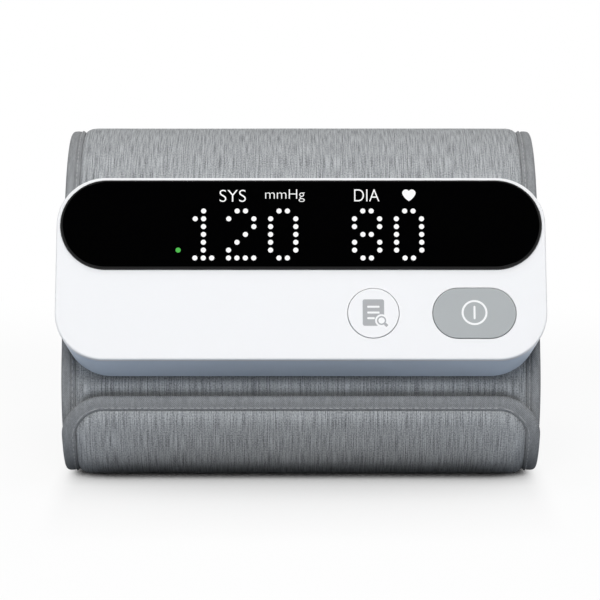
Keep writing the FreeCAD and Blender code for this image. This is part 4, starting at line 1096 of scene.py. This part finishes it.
# Keys
# Two moulded caps in holes of the cover: a grey pill that starts the reading and a round white one for the
# memory. Each has its sign printed on top, and presses a switch on the board below.
KEY_GREY = (0.415, 0.434, 0.439, 1.0)
PRINT_WHITE = (0.900, 0.900, 0.900, 1.0)
PRINT_GREY = (0.410, 0.415, 0.425, 1.0)
SIGN_SHIFT = 0.12 * MM
RING_R = 3.8 * MM
RING_LINE = 0.6 * MM
RING_SIDES = 48
BAR_HALF = 2.05 * MM
ROUND_STEPS = 4
SHEET_HALF = Vector((3.15 * MM, 4.0 * MM))
SHEET_CORNER = 0.6 * MM
SHEET_LINES = ((0.0, 1.77, 1.8), (0.0, 0.0, 1.8), (-0.72, -1.72, 1.08))
SHEET_LINE_HALF = 0.3 * MM
SHEET_LINE_CORNER = 0.15 * MM
GLASS_MIDDLE = Vector((2.38 * MM, -2.43 * MM))
GLASS_R = 1.35 * MM
GLASS_LINE = 0.42 * MM
GLASS_ANGLE = -45.0
GLASS_TURN = 10.0
GLASS_HANDLE = 1.05 * MM
GLASS_CLEAR = 0.55 * MM
grey_key = moulding_material("grey_key", KEY_GREY, roughness=0.36, depth=SHELL_GRAIN)
white_key = moulding_material(
    "white_key", SHELL_WHITE, roughness=0.3, depth=SHELL_GRAIN, uneven_gloss=SHELL_UNEVEN
)
white_print = moulding_material("white_print", PRINT_WHITE, roughness=0.5)
grey_print = moulding_material("grey_print", PRINT_GREY, roughness=0.5)
finish_nodes(grey_key, "start_button")
finish_nodes(white_key, "memory_button")


def round_bar(x, y, half_width, half_height, corner):
    """A rectangle with round corners."""
    outline = []
    for sx, sy, first in ((1, 1, 0), (-1, 1, 90), (-1, -1, 180), (1, -1, 270)):
        middle = (x + sx * (half_width - corner), y + sy * (half_height - corner))
        outline += quarter(*middle, corner, first, ROUND_STEPS)
    return outline


def ring(x, y, radius, line):
    """A ring line as a run of small plates."""
    pieces = []
    for k in range(RING_SIDES):
        turns = (2 * math.pi * k / RING_SIDES, 2 * math.pi * (k + 1) / RING_SIDES)
        inner = on_circle(x, y, radius - line, turns)
        outer = on_circle(x, y, radius, turns)
        pieces.append([inner[0], outer[0], outer[1], inner[1]])
    return pieces


def slanted_bar(start, angle, first, last, half_line):
    """A bar that runs out from a point at an angle, between two distances."""
    along = Vector((math.cos(math.radians(angle)), math.sin(math.radians(angle))))
    aside = Vector((-along.y, along.x)) * half_line
    ends = [start + along * first, start + along * last]
    return [ends[0] - aside, ends[1] - aside, ends[1] + aside, ends[0] + aside]


def keyhole(middle, radius, angle, reach, half_line):
    """A disc with a bar that runs out from it at an angle, as one outline."""
    open_half = math.degrees(math.asin(half_line / radius))
    sweep = even_steps(angle + open_half, angle + 360.0 - open_half, GLASS_TURN)
    bar = slanted_bar(middle, angle, 0.0, reach, half_line)
    return on_circle(*middle, radius, [math.radians(turn) for turn in sweep]) + bar[1:3]


def key_print(name, origin, outlines, level, material, body):
    mark = plates(name, origin, outlines, level)
    dress(mark, material)
    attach(mark, body)


start_face = face_spot("start_button") + UP * SIGN_SHIFT
start_bar = round_bar(0.0, 0.0, RING_LINE / 2, BAR_HALF, RING_LINE / 2)
start_sign = ring(0.0, 0.0, RING_R, RING_LINE) + [start_bar]
key_print("start_sign", start_face, start_sign, 0, white_print, "start_key")
memory_face = face_spot("memory_button") + UP * SIGN_SHIFT
handle = slanted_bar(GLASS_MIDDLE, GLASS_ANGLE, GLASS_R, GLASS_R + GLASS_HANDLE, GLASS_LINE)
glass_reach = GLASS_R + GLASS_HANDLE + GLASS_CLEAR
glass_clear = keyhole(
    GLASS_MIDDLE, GLASS_R + GLASS_CLEAR, GLASS_ANGLE, glass_reach, GLASS_LINE + GLASS_CLEAR
)
sheet_sign = [round_bar(0.0, 0.0, SHEET_HALF.x, SHEET_HALF.y, SHEET_CORNER)]
key_print("memory_sheet_sign", memory_face, sheet_sign, 0, grey_print, "memory_key")
sheet_lines = [
    round_bar(x * MM, y * MM, half * MM, SHEET_LINE_HALF, SHEET_LINE_CORNER) for x, y, half in SHEET_LINES
]
sheet_lines.append(glass_clear)
key_print("memory_line_sign", memory_face, sheet_lines, 1, white_print, "memory_key")
glass_sign = ring(*GLASS_MIDDLE, GLASS_R, GLASS_LINE) + [handle]
key_print("memory_glass_sign", memory_face, glass_sign, 2, grey_print, "memory_key")

# Studio
# A white floor with a painted soft shadow: its colour and glow are darkened by occlusion under the object,
# and the light it bounces onto the object is painted darker close to it. A white surround, two large soft
# lamps, and a black card that the lens mirrors. The camera stands in front, slightly above the middle of the
# object, with a long lens.
CAMERA_PLACE = Vector((-0.29 * MM, -942.0 * MM, 149.5 * MM))
CAMERA_PITCH = 6.0
CAMERA_LENS = 179.58
FLOOR_HALF = 4.0
FLOOR_BOUNCE = (0.43, 0.47, 0.53)
BOUNCE_REACH = (0.072, 0.095)
BOUNCE_LEAST = 0.1
SHADOW_REACH = 0.09
SHADOW_LEAN = (0.0, 0.6, 0.8)
SHADOW_FADE = 0.26
CONTACT_REACH = 0.01
CONTACT_FADE = 0.1
CONTACT_LEAST = 0.2
SHADOW_SIDES = (0.067, 0.076)
FLOOR_LIFT = 0.9
FLOOR_FADE = (0.22, 0.50)
CARD_HALF = 0.35
CARD_DISTANCE = 0.9
SKY_WHITE = (1.0, 1.0, 1.0, 1.0)
SKY_TINT = (0.96, 0.98, 1.0, 1.0)
SKY_LEVEL = 0.16
LAMP_AIM = Vector((0.0, 0.0, 0.05))


def white_rays(tree):
    """1 for rays that should see a white surround: from the camera, in reflections and through glass."""
    path = tree.nodes.new("ShaderNodeLightPath")
    seen = maths(tree, "MAXIMUM", path.outputs["Is Camera Ray"], path.outputs["Is Glossy Ray"])
    return maths(tree, "MAXIMUM", seen, path.outputs["Is Transmission Ray"])


floor_mesh = bpy.data.meshes.new("floor")
floor_mesh.from_pydata([(FLOOR_HALF * x, FLOOR_HALF * y, 0.0) for x, y in SQUARE], [], [(0, 1, 2, 3)])
floor = bpy.data.objects.new("floor", floor_mesh)
bpy.context.scene.collection.objects.link(floor)
floor_material, floor_tree, floor_shader = blank_material("floor_white_painted_shadow")
# Painted shadow: occlusion from the object darkens the floor's colour and glow, and is cleared past its
# sides.
wide = put(
    floor_tree, "ShaderNodeAmbientOcclusion", {"Distance": SHADOW_REACH, "Normal": SHADOW_LEAN}, samples=8
)
tight = put(floor_tree, "ShaderNodeAmbientOcclusion", {"Distance": CONTACT_REACH}, samples=16)
soft = maths(floor_tree, "POWER", wide.outputs["AO"], SHADOW_FADE)
close = maths(floor_tree, "POWER", tight.outputs["AO"], CONTACT_FADE)
painted_contact_shadow = maths(floor_tree, "MAXIMUM", close, CONTACT_LEAST)
under = maths(floor_tree, "MULTIPLY", soft, painted_contact_shadow)
spot = floor_tree.nodes.new("ShaderNodeTexCoord").outputs["Object"]
axes = put(floor_tree, "ShaderNodeSeparateXYZ", {0: spot})
aside = maths(floor_tree, "ABSOLUTE", axes.outputs[0])
clear = remap(floor_tree, aside, SHADOW_SIDES, fade="SMOOTHSTEP")
shade = put(floor_tree, "ShaderNodeMix", {"Factor": clear, 2: under, 3: 1.0}).outputs[0]
fill(floor_tree, floor_shader, {"Base Color": shade, "Roughness": 0.9, "Specular IOR Level": 0.0})
painted_shadow_glow = put(floor_tree, "ShaderNodeEmission", {"Color": shade, "Strength": 1.0})
near = put(
    floor_tree, "ShaderNodeMixShader", {0: FLOOR_LIFT, 1: floor_shader.outputs[0], 2: painted_shadow_glow.outputs[0]}
)
far = put(floor_tree, "ShaderNodeEmission", {"Strength": 1.0})
away = put(floor_tree, "ShaderNodeVectorMath", {0: spot}, operation="LENGTH").outputs["Value"]
fade = remap(floor_tree, away, FLOOR_FADE, fade="SMOOTHSTEP")
seen = put(floor_tree, "ShaderNodeMixShader", {0: fade, 1: near.outputs[0], 2: far.outputs[0]})
# Painted shade: the colour the floor bounces onto the object is made darker close to the object.
painted_bounce_shade = remap(floor_tree, away, BOUNCE_REACH, (BOUNCE_LEAST, 1.0))
painted_bounce_colour = put(floor_tree, "ShaderNodeVectorMath", {0: FLOOR_BOUNCE, "Scale": painted_bounce_shade}, operation="SCALE")
bounce = put(floor_tree, "ShaderNodeBsdfDiffuse", {"Color": painted_bounce_colour.outputs[0]})
shown = put(
    floor_tree, "ShaderNodeMixShader",
    {0: white_rays(floor_tree), 1: bounce.outputs[0], 2: seen.outputs[0]},
)
floor_tree.links.new(shown.outputs[0], floor_tree.nodes["Material Output"].inputs["Surface"])
floor_mesh.materials.append(floor_material)

mirrored = (CAMERA_PLACE - lens_middle).normalized()
mirrored = 2.0 * mirrored.dot(OUT) * OUT - mirrored
card_middle = lens_middle + mirrored * CARD_DISTANCE
card_up = mirrored.cross(RIGHT)
card_mesh = bpy.data.meshes.new("black_card")
card_mesh.from_pydata(
    [card_middle + (RIGHT * x + card_up * y) * CARD_HALF for x, y in SQUARE], [], [(0, 1, 2, 3)]
)
card = bpy.data.objects.new("black_card", card_mesh)
card_material, card_tree, card_shader = blank_material("card_black")
fill(card_tree, card_shader, {"Base Color": MASK_BLACK, "Specular IOR Level": 0.0})
card_mesh.materials.append(card_material)
card.visible_camera = False
card.visible_diffuse = False
card.visible_shadow = False
bpy.context.scene.collection.objects.link(card)

world = bpy.data.worlds.new("surround")
world.use_nodes = True
bpy.context.scene.world = world
sky = world.node_tree
white_sky = put(sky, "ShaderNodeBackground", {"Color": SKY_WHITE, "Strength": 1.0})
soft_sky = put(sky, "ShaderNodeBackground", {"Color": SKY_TINT, "Strength": SKY_LEVEL})
sky_mix = put(
    sky, "ShaderNodeMixShader", {0: white_rays(sky), 1: soft_sky.outputs[0], 2: white_sky.outputs[0]}
)
sky.links.new(sky_mix.outputs[0], sky.nodes["World Output"].inputs["Surface"])


def soft_lamp(name, place, size, power):
    """A square soft box that lights the object without a hard reflection of its own."""
    lamp = bpy.data.lights.new(name, "AREA")
    lamp.shape = "SQUARE"
    lamp.size = size
    lamp.energy = power
    holder = bpy.data.objects.new(name, lamp)
    holder.visible_glossy = False
    holder.location = place
    holder.rotation_euler = (LAMP_AIM - Vector(place)).to_track_quat("-Z", "Y").to_euler()
    bpy.context.scene.collection.objects.link(holder)


soft_lamp("top_lamp", place=(0.0, -0.25, 1.25), size=0.8, power=5.6)
soft_lamp("front_lamp", place=(-0.04, -1.40, 0.81), size=0.6, power=16.5)

camera_data = bpy.data.cameras.new("camera")
camera_data.lens = CAMERA_LENS
camera = bpy.data.objects.new("camera", camera_data)
camera.location = CAMERA_PLACE
camera.rotation_euler = (math.radians(90.0 - CAMERA_PITCH), 0.0, 0.0)
bpy.context.scene.collection.objects.link(camera)
bpy.context.scene.camera = camera
bpy.context.scene.view_settings.view_transform = "Standard"
